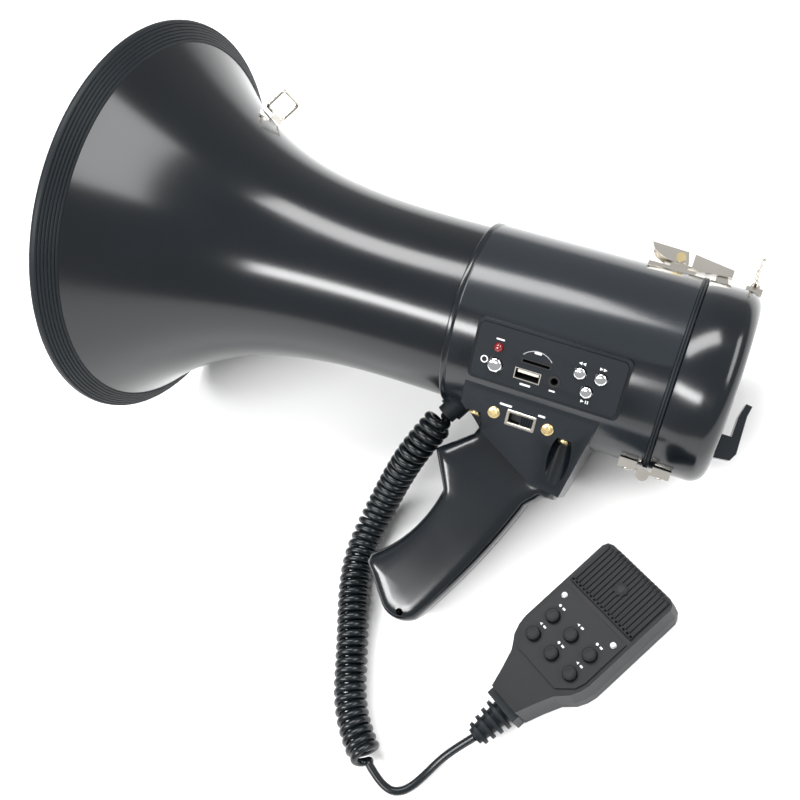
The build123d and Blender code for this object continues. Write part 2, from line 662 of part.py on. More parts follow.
def make_latch_base():
    base = block(LATCH_X - 9.0, LATCH_X + 15.0, -6.5, 6.5, BODY_RADIUS - 2.0, BODY_RADIUS + 1.6)
    for side in (-1, 1):
        ends = sorted((side * LATCH_EAR, side * (LATCH_EAR + 1.0)))
        outline = [(LATCH_X - 5, BODY_RADIUS), (LATCH_X + 5, BODY_RADIUS), (LATCH_X + 1.6, LATCH_Z + 1.9),
                   (LATCH_X - 1.6, LATCH_Z + 1.9)]
        base += side_plate(outline, ends[0], ends[1])
    base -= rod(0, X_FRONT, BODY_RADIUS + 0.02)
    return base - cross_rod(-20, 20, 1.25, LATCH_X, LATCH_Z)


def make_latch_rivets():
    rivets = []
    for side in (-1, 1):
        ends = sorted((side * (LATCH_EAR + 0.05), side * (LATCH_HALF + 0.5)))
        heads = sorted((side * (LATCH_HALF + 0.1), side * (LATCH_HALF + 0.9)))
        rivets.append(cross_rod(ends[0], ends[1], 1.25, LATCH_X, LATCH_Z) + cross_rod(heads[0], heads[1], 2.4, LATCH_X, LATCH_Z))
    return Compound(rivets)


def make_latch_lever():
    """A channel with its tip forward, slotted at the rear for the claw that hangs on its cross pin."""
    outline = [(LATCH_X - 4.6, LATCH_Z - 2.6), (LATCH_X + 6.5, LATCH_Z - 2.6), (LATCH_X + 13.5, LATCH_Z + 0.6),
               (LATCH_X + 16.0, LATCH_Z + 4.4), (LATCH_X - 3.0, LATCH_Z + 3.6)]
    inside = [(LATCH_X - 9.0, LATCH_Z - 9.0), (LATCH_X + 22.0, LATCH_Z - 9.0), (LATCH_X + 22.0, LATCH_Z + 3.5),
              (LATCH_X - 9.0, LATCH_Z + 2.6)]
    lever = side_plate(outline, -LATCH_HALF, LATCH_HALF)
    lever -= side_plate(inside, -LATCH_HALF + 1.0, LATCH_HALF - 1.0)
    lever -= block(LATCH_X - 9.0, LATCH_X + 3.5, -LATCH_HALF + 1.0, LATCH_HALF - 1.0, LATCH_Z, LATCH_Z + 9.0)
    lever -= block(LATCH_X - 9.0, CLAW_PIN_X + 2.8, -CLAW_HALF - 0.4, CLAW_HALF + 0.4, LATCH_Z, LATCH_Z + 9.0)
    lever -= cross_rod(-20, 20, 1.3, LATCH_X, LATCH_Z)
    return lever + cross_rod(-LATCH_HALF, LATCH_HALF, CLAW_PIN_RADIUS, CLAW_PIN_X, CLAW_PIN_Z)


def make_latch_claw():
    bar = block(LATCH_X - 26.5, CLAW_PIN_X + 1.6, -CLAW_HALF, CLAW_HALF, CLAW_Z, CLAW_Z + 1.2)
    bar += block(CLAW_PIN_X - 1.6, CLAW_PIN_X + 1.6, -CLAW_HALF, CLAW_HALF, CLAW_Z, CLAW_PIN_Z)
    bar += cross_rod(-CLAW_HALF, CLAW_HALF, 2.0, CLAW_PIN_X, CLAW_PIN_Z)
    outline = [(LATCH_X - 26.5, CLAW_Z + 0.2), (LATCH_X - 21.0, CLAW_Z), (LATCH_X - 10.0, CLAW_Z - 0.8),
               (LATCH_X - 6.3, CLAW_Z), (LATCH_X - 6.3, LATCH_Z + 3.3), (LATCH_X - 26.5, LATCH_Z + 0.3)]
    tail = side_plate(outline, -LATCH_HALF, LATCH_HALF)
    tail -= side_plate([(LATCH_X - 40, CLAW_Z + 1.2), (LATCH_X, CLAW_Z + 1.2), (LATCH_X, LATCH_Z + 3.2), (LATCH_X - 40, LATCH_Z - 2.9)],
                       -LATCH_HALF + 1.0, LATCH_HALF - 1.0)
    tail -= rod(0, X_FRONT, BODY_RADIUS + 0.4)
    return bar + tail - cross_rod(-20, 20, CLAW_PIN_RADIUS + HINGE_CLEARANCE, CLAW_PIN_X, CLAW_PIN_Z)


def make_latch_keeper():
    keeper = side_plate([(16.0, 45.0), (24.5, 45.0), (24.5, CLAW_Z - 0.25), (19.0, CLAW_Z - 0.25)], -5.0, 5.0)
    return keeper - rod(0, X_FRONT, BODY_RADIUS)


def strap_loop():
    """A rectangular wire loop: its lower bar on the y axis, its legs standing along z."""
    half = STRAP_HALF
    tall = STRAP_HEIGHT
    path = FilletPolyline((0, half, 0), (0, half, tall), (0, -half, tall), (0, -half, 0), radius=2.2, close=True)
    profile = Plane(origin=path @ 0, z_dir=path % 0) * Circle(STRAP_WIRE / 2)
    return sweep(profile, path=path)


def strap_bracket(depth):
    """A plate with a rolled tube for the wire: local z away from the surface."""
    plate = Pos(0, 0, -depth / 2 - 0.2) * Box(8.0, 13.0, depth)
    tube = Rot(90, 0, 0) * Cylinder(STRAP_WIRE / 2 + 1.2, 13.0)
    saddle = Pos(0, 0, -0.6) * Box(4.4, 13.0, 1.4)
    return plate + tube + saddle - Rot(90, 0, 0) * Cylinder(STRAP_WIRE / 2 + 0.08, 14.0)


def front_strap_frame():
    slope = math.degrees(math.atan(flare_slope(FRONT_STRAP_X)))
    lift = STRAP_WIRE / 2 + 2.4
    angle = math.radians(slope)
    x = FRONT_STRAP_X - lift * math.sin(angle)
    z = flare_radius(FRONT_STRAP_X) + lift * math.cos(angle)
    return Pos(x, 0, z) * Rot(0, -slope, 0)


def rear_strap_frame():
    return Pos(REAR_STRAP_X, 0, BODY_RADIUS + 1.9)


def make_hook():
    return side_plate([(0, -22.5), (0, -35.0), (-8.6, -34.0), (-10.6, -30.0), (-9.9, -11.0), (-10.8, -5.5), (-7.8, -5.0),
                       (-6.2, -12.0), (-6.0, -22.5)], -HOOK_HALF, HOOK_HALF)


# ---- Microphone -----------------------------------------------------------------------------------------
def mic_outline(grow, shrink_end=0.0):
    """Half widths along the microphone, mirrored into a closed outline."""
    neck = MIC_NECK_HALF + grow * 0.4
    full = MIC_HALF + grow
    top = MIC_LENGTH + grow - shrink_end
    half = [(shrink_end, neck), (10.0, neck + 3.2), (19.0, neck + 6.6), (25.0, full - 3.0), (30.0, full - 0.9),
            (35.0, full), (top - 4.0, full), (top - 1.2, full - 1.2), (top, full - 4.0)]
    return half + [(x, -y) for x, y in reversed(half)]


def mic_layer(grow_low, grow_high, z_low, z_high, shrink_end=0.0):
    low = Plane.XY.offset(z_low) * make_face(Polyline(*mic_outline(grow_low, shrink_end), close=True))
    high = Plane.XY.offset(z_high) * make_face(Polyline(*mic_outline(grow_high, shrink_end), close=True))
    return loft([low, high], ruled=True)


def make_mic_back():
    shell = mic_layer(0.5, MIC_FLARE, 0.0, MIC_PARTING)
    shell -= mic_layer(0.5 - MIC_WALL, MIC_FLARE - MIC_WALL, MIC_WALL, MIC_PARTING + 0.01, MIC_WALL)
    hanger = block(48.0, 78.0, -11.0, 11.0, 0.0, 7.0)
    shell += hanger
    shell -= block(44.0, 75.0, -8.5, 8.5, -1.0, 5.0)
    shell -= rod(-5.0, 5.0, 3.2, 0, MIC_PARTING)
    return shell


def make_mic_front():
    shell = mic_layer(MIC_FLARE, 0.0, MIC_PARTING, MIC_THICKNESS)
    shell -= mic_layer(MIC_FLARE - MIC_WALL, -MIC_WALL, MIC_PARTING - 0.01, MIC_THICKNESS - MIC_WALL, MIC_WALL)
    shell -= rod(-5.0, 5.0, 3.2, 0, MIC_PARTING)
    shell -= block(GRILLE_START + 2.0, MIC_LENGTH - 6.0, -MIC_HALF + 5.0, MIC_HALF - 5.0, 20.0, 30.0)
    for _, x, y in mic_button_places():
        shell -= Pos(x, y, MIC_THICKNESS) * Cylinder(MIC_BUTTON_DIAMETER / 2 + 1.4, 12.0)
    return shell


def mic_button_places():
    places = []
    number = 1
    for x in MIC_BUTTON_ROWS:
        for column in (1, 0, -1):
            places.append(("mic_button_%d" % number, x, column * MIC_BUTTON_PITCH))
            number += 1
    return places


def make_button_plate():
    outline = [(22.0, -13.0), (29.0, -19.5), (34.0, -21.0), (61.0, -21.0), (61.0, 21.0), (34.0, 21.0), (29.0, 19.5),
               (22.0, 13.0)]
    plate = Pos(0, 0, MIC_THICKNESS) * extrude(make_face(Polyline(*outline, close=True)), amount=1.2)
    for _, x, y in mic_button_places():
        plate -= Pos(x, y, MIC_THICKNESS) * Cylinder(MIC_BUTTON_DIAMETER / 2 + FIT, 6.0)
    return plate


def make_mic_button(x, y):
    top = MIC_THICKNESS + 1.2 + MIC_BUTTON_PROUD
    low = MIC_THICKNESS - MIC_WALL - 1.0
    stem = Pos(x, y, (top + low) / 2) * Cylinder(MIC_BUTTON_DIAMETER / 2, top - low)
    flange = Pos(x, y, MIC_THICKNESS - 0.7) * Cylinder(MIC_BUTTON_DIAMETER / 2 + 0.8, 0.9)
    return stem + flange


def make_grille():
    x0 = GRILLE_START
    x1 = MIC_LENGTH - 1.5
    half = MIC_HALF - 2.0
    outline = [(x0, -half), (x1 - 5.0, -half), (x1, -half + 5.0), (x1, half - 5.0), (x1 - 5.0, half), (x0, half)]
    plate = Pos(0, 0, MIC_THICKNESS) * extrude(make_face(Polyline(*outline, close=True)), amount=1.6)
    pitch = (2 * half - 4.0) / GRILLE_SLOTS
    for i in range(GRILLE_SLOTS):
        y = -half + 2.0 + pitch * (i + 0.5)
        plate -= block(x0 + 2.5, x1 - 5.5, y - pitch * 0.25, y + pitch * 0.25, MIC_THICKNESS - 1, MIC_THICKNESS + 3)
    boss = Pos((x0 + x1) / 2 + 1.0, 0, MIC_THICKNESS + 0.9) * Cylinder(3.6, 1.8)
    return plate + boss


def make_mic_screws():
    screws = []
    places = ((56.5, 17.0, MIC_THICKNESS + 1.2), (56.5, -17.0, MIC_THICKNESS + 1.2))
    for x, y, z in places:
        screws.append(Pos(x, y, z + 0.2) * Cylinder(1.7, 0.4))
    screws.append(Pos((GRILLE_START + MIC_LENGTH - 1.5) / 2 + 1.0, 0, MIC_THICKNESS + 1.9) * Cylinder(1.9, 0.2))
    return Compound(screws)


def make_mic_board():
    return block(24.0, 58.0, -18.0, 18.0, MIC_PARTING + 2.0, MIC_PARTING + 2.0 + BOARD_THICKNESS)


def make_mic_capsule():
    return Pos(75.0, 0, MIC_THICKNESS - MIC_WALL - 4.5) * Cylinder(9.0, 6.0)


def make_strain_relief():
    """A tapered cord relief with ribs, along the microphone's axis behind its neck."""
    z = MIC_PARTING - 1.0
    relief = Pos(-2.0, 0, z + 0.5) * Box(4.0, 19.0, 15.0)
    core = turned([(-RELIEF_LENGTH, 0), (-RELIEF_LENGTH, 4.2), (-3.0, 6.0), (-3.0, 0)])
    relief += Pos(0, 0, z) * core
    for i in range(4):
        x = -RELIEF_LENGTH + 2.0 + 4.4 * i
        relief += rod(x, x + 1.8, 6.2 + 0.7 * i, 0, z)
    return relief + rod(0.0, 4.5, 3.1, 0, MIC_PARTING)


# ---- Laying it down --------------------------------------------------------------------------------------
def placement(roll, tilt, lift):
    return Pos(0, 0, lift) * Rot(0, -tilt, 0) * Rot(roll, 0, 0)


def lean_angle():
    """The tilt at which the bell ring and the cap's rounded edge share one floor."""
    run = X_MOUTH - RING_EDGE_RADIUS - CAP_EDGE_RADIUS
    rise = (RING_RADIUS - RING_EDGE_RADIUS) - (BODY_RADIUS - CAP_EDGE_RADIUS)
    rounding = math.asin((RING_EDGE_RADIUS - CAP_EDGE_RADIUS) / math.hypot(run, rise))
    return math.degrees(math.atan2(rise, run) + rounding)


def rest_roll(grip, tilt, lift):
    """The roll at which the grip's end comes down to the floor."""
    low, high = 45.0, 90.0
    for _ in range(12):
        middle = (low + high) / 2
        if (placement(middle, tilt, lift) * grip).bounding_box().min.Z < 0:
            low = middle
        else:
            high = middle
    return high


def cord_tube(points, diameter):
    """Straight runs joined by tangent arcs, each as large as its two runs allow."""
    vectors = [Vector(*p) for p in points]
    radii = []
    for before, here, after in zip(vectors, vectors[1:], vectors[2:]):
        run = min((here - before).length, (after - here).length)
        turn = math.radians((here - before).get_angle(after - here))
        radii.append(0.45 * run / math.tan(turn / 2))
    print("bend radii", [round(r, 1) for r in radii])
    path = FilletPolyline(*vectors, radius=radii)
    start = Plane(origin=vectors[0], z_dir=vectors[1] - vectors[0])
    tube = sweep(start * Circle(diameter / 2), path=path)
    print("length %.1f volume %.1f section times length %.1f"
          % (path.length, tube.volume, math.pi * diameter ** 2 / 4 * path.length))
    return tube


# ---- Building every node ------------------------------------------------------------------------------------
os.makedirs("parts", exist_ok=True)
horn = make_horn()
saddle = make_saddle()
megaphone = {
    "horn": horn,
    "bell_ring": make_bell_ring(horn),
    "compression_driver": Compound([make_driver_magnet(), make_driver_housing()]),
    "driver_diaphragm": make_driver_diaphragm(),
    "throat_tube": make_throat(horn),
    "reflex_cup": make_reflex_cup(),
    "body_shell": make_body(),
    "seam_band": make_seam_band(),
    "battery_tray": make_tray(),
    "battery_cells": make_cells(),
    "amplifier_board": make_amplifier_board(),
    "player_board": make_player_board(),
    "control_panel": make_panel(),
    "power_led": make_led(),
    "usb_socket": make_usb_socket(),
    "card_slot": make_card_slot(),
    "aux_jack": make_aux_jack(),
    "mode_button": push_button(MODE_PLACE, MODE_BUTTON_DIAMETER),
    "saddle": saddle,
    "saddle_screws": Compound(make_saddle_screws() + make_switch_screws()),
    "switch_frame": make_switch_frame() - saddle,
    "switch_knob": make_switch_knob(),
    "grip_left_shell": make_grip_half(1),
    "grip_right_shell": make_grip_half(-1),
    "grip_screws": make_grip_screws(),
    "cord_gland": make_gland(),
    "hinge_body_leaf": make_hinge_body_leaf(),
    "hinge_pin": make_hinge_pin(),
    "latch_base": make_latch_base(),
    "latch_rivets": make_latch_rivets(),
    "latch_lever": make_latch_lever(),
    "latch_claw": make_latch_claw(),
    "front_strap_bracket": front_strap_frame() * strap_bracket(2.6) - make_horn_plug(),
    "front_strap_loop": front_strap_frame() * strap_loop(),
    "rear_cap": make_cap(),
    "contact_plate": make_contact_plate(),
    "hinge_cap_leaf": make_hinge_cap_leaf(),
    "latch_keeper": make_latch_keeper(),
    "rear_strap_bracket": rear_strap_frame() * strap_bracket(3.4) - make_cap(),
    "rear_strap_loop": rear_strap_frame() * strap_loop(),
    "mic_hook": make_hook(),
}
for name, place in TRACK_PLACES:
    megaphone[name] = push_button(place, TRACK_BUTTON_DIAMETER)

microphone = {
    "mic_back_cover": make_mic_back(),
    "mic_front_cover": make_mic_front(),
    "mic_button_plate": make_button_plate(),
    "mic_grille": make_grille(),
    "mic_screws": make_mic_screws(),
    "mic_board": make_mic_board(),
    "mic_capsule": make_mic_capsule(),
    "mic_strain_relief": make_strain_relief(),
}
for name, x, y in mic_button_places():
    microphone[name] = make_mic_button(x, y)

tilt = lean_angle()
flat = placement(90.0, tilt, 0.0)
lift = -min((flat * megaphone["bell_ring"]).bounding_box().min.Z, (flat * megaphone["rear_cap"]).bounding_box().min.Z)
roll = rest_roll(megaphone["grip_right_shell"], tilt, lift)
down = placement(roll, tilt, lift)
mic_down = Pos(MIC_PLACE[0], MIC_PLACE[1], 0) * Rot(0, 0, MIC_HEADING)
print("tilt %.4f roll %.4f lift %.4f" % (tilt, roll, lift))

placed = {}
for name, shape in megaphone.items():
    placed[name] = down * shape
for name, shape in microphone.items():
    placed[name] = mic_down * shape
boxes = [shape.bounding_box() for shape in placed.values()]
middle_x = (min(b.min.X for b in boxes) + max(b.max.X for b in boxes)) / 2
middle_y = (min(b.min.Y for b in boxes) + max(b.max.Y for b in boxes)) / 2
bottom = min(b.min.Z for b in boxes)
centred = Pos(-middle_x, -middle_y, -bottom)
print("shift %.4f %.4f %.4f" % (-middle_x, -middle_y, -bottom))

coil_start = (down * Pos(*gland_tip())).position
relief_end = (mic_down * Pos(-RELIEF_LENGTH, 0, MIC_PARTING - 1.0)).position
placed["cord_coil"] = cord_tube([tuple(coil_start)] + COIL_POINTS, COIL_DIAMETER)
placed["cord_lead"] = cord_tube([COIL_POINTS[-1]] + LEAD_POINTS + [tuple(relief_end)], CORD_DIAMETER)
for name, shape in placed.items():
    export_step(centred * shape, "parts/%s.step" % name)
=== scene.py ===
import bpy
import bmesh
import json
import math
from mathutils import Matrix, Vector


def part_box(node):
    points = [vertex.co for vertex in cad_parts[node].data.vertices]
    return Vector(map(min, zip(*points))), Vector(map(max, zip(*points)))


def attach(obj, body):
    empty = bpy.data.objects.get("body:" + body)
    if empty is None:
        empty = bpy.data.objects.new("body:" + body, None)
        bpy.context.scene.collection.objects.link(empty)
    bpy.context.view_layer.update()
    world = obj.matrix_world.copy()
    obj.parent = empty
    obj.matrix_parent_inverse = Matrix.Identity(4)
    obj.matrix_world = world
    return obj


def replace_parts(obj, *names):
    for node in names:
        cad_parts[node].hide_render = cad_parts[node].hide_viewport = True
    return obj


# Handheld megaphone with a coiled-cord hand microphone. Lengths are in millimetres unless said otherwise.
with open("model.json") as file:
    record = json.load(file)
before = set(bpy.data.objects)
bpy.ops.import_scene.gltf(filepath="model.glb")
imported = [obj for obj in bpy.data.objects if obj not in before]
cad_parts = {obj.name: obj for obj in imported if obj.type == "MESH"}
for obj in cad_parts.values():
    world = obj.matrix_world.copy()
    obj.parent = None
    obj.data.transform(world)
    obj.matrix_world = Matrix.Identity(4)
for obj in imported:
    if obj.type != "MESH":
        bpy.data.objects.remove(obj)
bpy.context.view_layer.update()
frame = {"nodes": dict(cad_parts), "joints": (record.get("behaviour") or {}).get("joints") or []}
MM = 0.001

# ---- Megaphone's own frame -------------------------------------------------------------------------------
# x runs forward from the cap's end, y to the left and z up, away from the grip. It is found from the axes of
# the slide switch and the cap's hinge.
joints = {j["name"]: j for j in frame["joints"]}
forward = Vector(joints["switch_slide"]["axis"])
left = -Vector(joints["cap_hinge"]["axis"])
upward = forward.cross(left)
BODY_R = 49.7
HINGE = Vector((28.5, 0.0, -BODY_R - 4.3))
hinge_at = Vector(joints["cap_hinge"]["pos_m"])
TURN = Matrix((forward, left, upward)).transposed()
ORIGIN = hinge_at - TURN @ (HINGE * MM)
HORN = Matrix.Translation(ORIGIN) @ TURN.to_4x4() @ Matrix.Scale(MM, 4)

# ---- Camera ----------------------------------------------------------------------------------------------
camera = bpy.data.objects.new("camera", bpy.data.cameras.new("camera"))
bpy.context.scene.collection.objects.link(camera)
camera.data.lens = 41.2
camera.data.sensor_width = 36.0
# The megaphone's rear, left side and mouth centre as the camera has them: right, down, away from the lens.
rear_seen = Vector((0.911, 0.304, -0.278)).normalized()
left_seen = Vector((-0.264, -0.088, -0.961))
left_seen = (left_seen - rear_seen * rear_seen.dot(left_seen)).normalized()
mouth_seen = Vector((-141.0, -107.0, 551.0))
seen = Matrix((-rear_seen, left_seen, -rear_seen.cross(left_seen)))
eye = HORN @ (Vector((337.0, 0.0, 0.0)) - seen @ mouth_seen)
facing = (TURN @ seen @ Matrix.Diagonal((1.0, -1.0, -1.0))).to_4x4()
camera.matrix_world = Matrix.Translation(eye) @ facing
bpy.context.scene.camera = camera

# ---- Horn ------------------------------------------------------------------------------------------------
# The bell is one moulded ABS flare, about 2.5 mm thick, from the body to the lip, revolved from a power
# curve. Its black is glossy, with broad soft highlights.


def linear(hex_colour):
    parts = [int(hex_colour[i:i + 2], 16) / 255 for i in (1, 3, 5)]
    return [c / 12.92 if c <= 0.04045 else ((c + 0.055) / 1.055) ** 2.4 for c in parts] + [1.0]


def node(material, kind, links=(), **values):
    """Adds a node; links are (input, node, output) and values are inputs or settings by name."""
    made = material.node_tree.nodes.new(kind)
    for name, value in values.items():
        key = name.replace("_", " ").title()
        if key in made.inputs:
            made.inputs[key].default_value = value
        else:
            setattr(made, name, value)
    for target, source, output in links:
        material.node_tree.links.new(source.outputs[output], made.inputs[target])
    return made


def material(name, colour, second, rough=(0.3, 0.4), grain=1.0, bump=0.05, metal=0.0, coat=0.0, wear=0.0,
             worn="#8a8a8a", shine=0.34):
    """Two colours and two roughnesses mixed by a broad noise, a bump of grain mm, and paler sharp edges."""
    m = bpy.data.materials.new(name)
    m.use_nodes = True
    m.node_tree.nodes.clear()
    place = node(m, "ShaderNodeTexCoord")
    fine = node(m, "ShaderNodeTexNoise", [("Vector", place, "Object")], scale=1000.0 / grain, detail=6.0)
    broad = node(m, "ShaderNodeTexNoise", [("Vector", place, "Object")], scale=22.0, detail=4.0)
    tone = node(m, "ShaderNodeMix", [("Factor", broad, 0)], data_type="RGBA")
    tone.inputs[6].default_value = linear(colour)
    tone.inputs[7].default_value = linear(second)
    edge = node(m, "ShaderNodeNewGeometry")
    sharp = node(m, "ShaderNodeMapRange", [("Value", edge, "Pointiness")])
    sharp.inputs[1].default_value = 0.53
    sharp.inputs[2].default_value = 0.62
    sharp.inputs[4].default_value = wear
    worn_tone = node(m, "ShaderNodeMix", [("Factor", sharp, 0)], data_type="RGBA")
    worn_tone.inputs[7].default_value = linear(worn)
    m.node_tree.links.new(tone.outputs[2], worn_tone.inputs[6])
    roughness = node(m, "ShaderNodeMapRange", [("Value", broad, 0)])
    roughness.inputs[3].default_value = rough[0]
    roughness.inputs[4].default_value = rough[1]
    relief = node(m, "ShaderNodeBump", [("Height", fine, 0)], strength=bump, distance=0.0002)
    shader = node(m, "ShaderNodeBsdfPrincipled", [("Roughness", roughness, 0), ("Normal", relief, 0)],
                  metallic=metal)
    shader.inputs["Specular IOR Level"].default_value = 0.5 if metal or coat else shine
    shader.inputs["Coat Weight"].default_value = coat
    shader.inputs["Coat Roughness"].default_value = 0.04
    m.node_tree.links.new(worn_tone.outputs[2], shader.inputs["Base Color"])
    node(m, "ShaderNodeOutputMaterial", [("Surface", shader, 0)])
    return m


GLOSS = material("gloss_black", "#080c10", "#0d1217", (0.13, 0.22), 2.5, 0.015, wear=0.12, worn="#4a525a",
                 shine=0.5)


def finish_mesh(name, verts, faces, at, mat, body, bevel=0.0, smooth=40.0):
    """An object from points in a frame, with its modifiers applied, riding on a body."""
    mesh = bpy.data.meshes.new(name)
    mesh.from_pydata([at @ Vector(v) for v in verts], [], faces)
    made = bpy.data.objects.new(name, mesh)
    bpy.context.scene.collection.objects.link(made)
    work = bmesh.new()
    work.from_mesh(mesh)
    bmesh.ops.remove_doubles(work, verts=work.verts, dist=1e-6)
    bmesh.ops.recalc_face_normals(work, faces=work.faces)
    work.to_mesh(mesh)
    work.free()
    made.data.materials.append(mat)
    if bevel > 0:
        step = made.modifiers.new("edges", "BEVEL")
        step.width = bevel * MM
        step.segments = 3
        step.limit_method = "ANGLE"
        step.angle_limit = math.radians(32)
    bpy.context.view_layer.objects.active = made
    made.select_set(True)
    for step in list(made.modifiers):
        bpy.ops.object.modifier_apply(modifier=step.name)
    bpy.ops.object.shade_smooth_by_angle(angle=math.radians(smooth))
    made.select_set(False)
    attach(made, body)
    return made


def lathe(name, profile, mat, body, steps=192, at=HORN, smooth=35.0):
    """A revolve about the frame's x axis of (x, r) points."""
    verts = []
    faces = []
    count = len(profile)
    for i in range(steps):
        angle = 2 * math.pi * i / steps
        verts += [(x, r * math.cos(angle), r * math.sin(angle)) for x, r in profile]
    for i in range(steps):
        following = (i + 1) % steps
        for j in range(count):
            k = (j + 1) % count
            faces.append((i * count + j, i * count + k, following * count + k, following * count + j))
    return finish_mesh(name, verts, faces, at, mat, body, smooth=smooth)


HORN_ROOT, X_FRONT, HORN_LENGTH, THROAT_R, LIP_R, WALL, POWER = 130.5, 138.0, 191.0, 47.0, 107.0, 2.5, 3.3
X_LIP = X_FRONT + HORN_LENGTH


def flare(x):
    return THROAT_R + (LIP_R - THROAT_R) * max((x - X_FRONT) / HORN_LENGTH, 0.0) ** POWER


outer = [(x, flare(x)) for x in [HORN_ROOT + (X_LIP - HORN_ROOT) * i / 60 for i in range(61)]]
inner = [(x, r - WALL * 1.15) for x, r in reversed(outer)]
horn_skin = lathe("horn_skin", outer + inner, GLOSS, "megaphone", steps=256)
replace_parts(horn_skin, "horn")

# ---- Bell ring -------------------------------------------------------------------------------------------
# A soft rubber ring pushed over the horn's lip. It has concentric ribs on its back and on its front edge,
# and a matt, slightly dusty black.
RUBBER = material("black_rubber", "#15191c", "#1f2428", (0.4, 0.5), 0.5, 0.2, wear=0.2, worn="#23262a",
                  shine=0.16)
RIBS, RIB_HEIGHT = 7, 0.55
RING_BACK, RING_DEPTH, RING_R = 326.6, 6.9, 114.3
RING_BORE = flare(326.3)
ribbed = []
for i in range(RIBS * 8 + 1):
    share = i / (RIBS * 8)
    lift = RIB_HEIGHT * abs(math.sin(math.pi * share * RIBS)) ** 0.6
    ribbed.append((RING_BACK + RING_DEPTH * share - lift * 0.8,
                   RING_BORE + 0.4 + (RING_R - RING_BORE) * share + lift * 0.4))
front_ribs = [(336.9 - 0.35 * (i % 2), 113.2 - 8.2 * i / 8) for i in range(9)]
ring_profile = ribbed + [(334.6, 114.9), (335.8, 114.7), (336.7, 113.9)] + front_ribs + [(331.2, 104.6)]
bell_ring_ribbed = lathe("bell_ring_ribbed", ring_profile, RUBBER, "megaphone", steps=256,
                         smooth=50)
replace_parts(bell_ring_ribbed, "bell_ring")

# ---- Sound path inside the bell --------------------------------------------------------------------------
# The centre cup hangs on three fins in the bell and turns the sound round. Behind it sit the throat tube and
# the driver: magnet steel, a dark plastic tube and a diaphragm.
DARK = material("inner_dark", "#090a0b", "#0f1011", (0.45, 0.6), 0.6, 0.2)
STEEL = material("magnet_steel", "#8c8d90", "#9c9da0", (0.3, 0.45), 0.6, 0.1, metal=1.0)


def prism(name, outline, low, high, mat, body, at=HORN, bevel=0.3, plane="xy"):
    """An outline extruded from low to high, square to its plane."""
    def point(a, b, c):
        return (a, b, c) if plane == "xy" else (a, c, b)
    verts = [point(a, b, low) for a, b in outline] + [point(a, b, high) for a, b in outline]
    n = len(outline)
    faces = [tuple(range(n)), tuple(range(2 * n - 1, n - 1, -1))]
    faces += [(i, (i + 1) % n, n + (i + 1) % n, n + i) for i in range(n)]
    return finish_mesh(name, verts, faces, at, mat, body, bevel=bevel)


def arc(cx, cy, radius, start, end, steps=8):
    return [(cx + radius * math.cos(math.radians(start + (end - start) * i / steps)),
             cy + radius * math.sin(math.radians(start + (end - start) * i / steps)))
            for i in range(steps + 1)]


CUP_X0, CUP_X1 = 203.0, 303.0
cup_outer = [(CUP_X0, 32.0), (CUP_X1 - 8, 50.6)] + arc(CUP_X1 - 8, 35.6, 15.0, 80, 20, 8)
cup_outer += [(CUP_X1 + 9.0 + 7.0 * math.sin(math.radians(a)), 0.05 + 38.0 * math.cos(math.radians(a)))
              for a in range(0, 91, 10)]
cup_inner = [(x - 2.4, max(r - 2.0, 0.04)) for x, r in reversed(cup_outer)]
cup_inner[-1] = (CUP_X0, 30.0)
cup_skin = lathe("reflex_cup_skin", cup_outer + cup_inner, GLOSS, "megaphone", steps=128,
                 smooth=45)
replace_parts(cup_skin, "reflex_cup")
for i in range(3):
    turn = HORN @ Matrix.Rotation(2 * math.pi * i / 3, 4, "X")
    fin_line = [(287.5, 48.0), (303.0, 50.0), (302.6, flare(302.6) - 3.2), (287.5, flare(287.5) - 3.2)]
    prism("reflex_fin_%d" % (i + 1), fin_line, -1.5, 1.5, GLOSS, "megaphone", at=turn,
          bevel=0.5, plane="xz")


def dress(mat, *names, edge=0.2):
    """Gives solid pieces their material and softens their edges by edge, in millimetres."""
    for name in names:
        piece = frame["nodes"][name]
        piece.data.materials.clear()
        piece.data.materials.append(mat)
        step = piece.modifiers.new("edges", "BEVEL")
        step.width = edge * MM
        step.segments = 3
        step.limit_method = "ANGLE"
        step.angle_limit = math.radians(32)
        step.harden_normals = False
        for face in piece.data.polygons:
            face.use_smooth = True
        piece.data.set_sharp_from_angle(angle=math.radians(38))


dress(DARK, "throat_tube", "driver_diaphragm")
dress(STEEL, "compression_driver")

# ---- Body, rear cap and seam band ------------------------------------------------------------------------
# Round moulded ABS shells like the horn, with a rubber band in the seam between body and cap and a small
# bead where the body meets the horn.
dress(GLOSS, "body_shell", edge=0.5)
cap_profile = [(26.9, 47.3), (26.9, BODY_R - 0.4), (26.5, BODY_R)] + [(12.0, BODY_R)]
cap_profile += arc(8.0, BODY_R - 8.0, 8.0, 90, 180, 12)
cap_profile += [(0.0, 36.0), (0.5, 35.4), (0.5, 34.0), (0.0, 33.4), (0.0, 0.05), (2.4, 0.05), (2.4, 39.3)]
cap_profile += arc(10.4, 39.3, 8.0, 180, 90, 8)
cap_skin = lathe("rear_cap_skin", cap_profile, GLOSS, "cap", steps=192, smooth=45)
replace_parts(cap_skin, "rear_cap")
band_profile = [(27.1, 47.4), (27.1, 49.4), (27.5, 50.1), (28.3, 50.15), (28.5, 49.6), (28.7, 50.15),
                (29.6, 50.1), (29.95, 49.4), (29.95, 47.4)]
band_skin = lathe("seam_band_skin", band_profile, RUBBER, "megaphone", steps=192, smooth=50)
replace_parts(band_skin, "seam_band")
bead_profile = [(134.5, 49.65), (135.2, 50.15)] + arc(137.2, 49.3, 0.9, 80, -20, 6)
bead_profile += [(137.9, 48.2), (134.5, 48.2)]
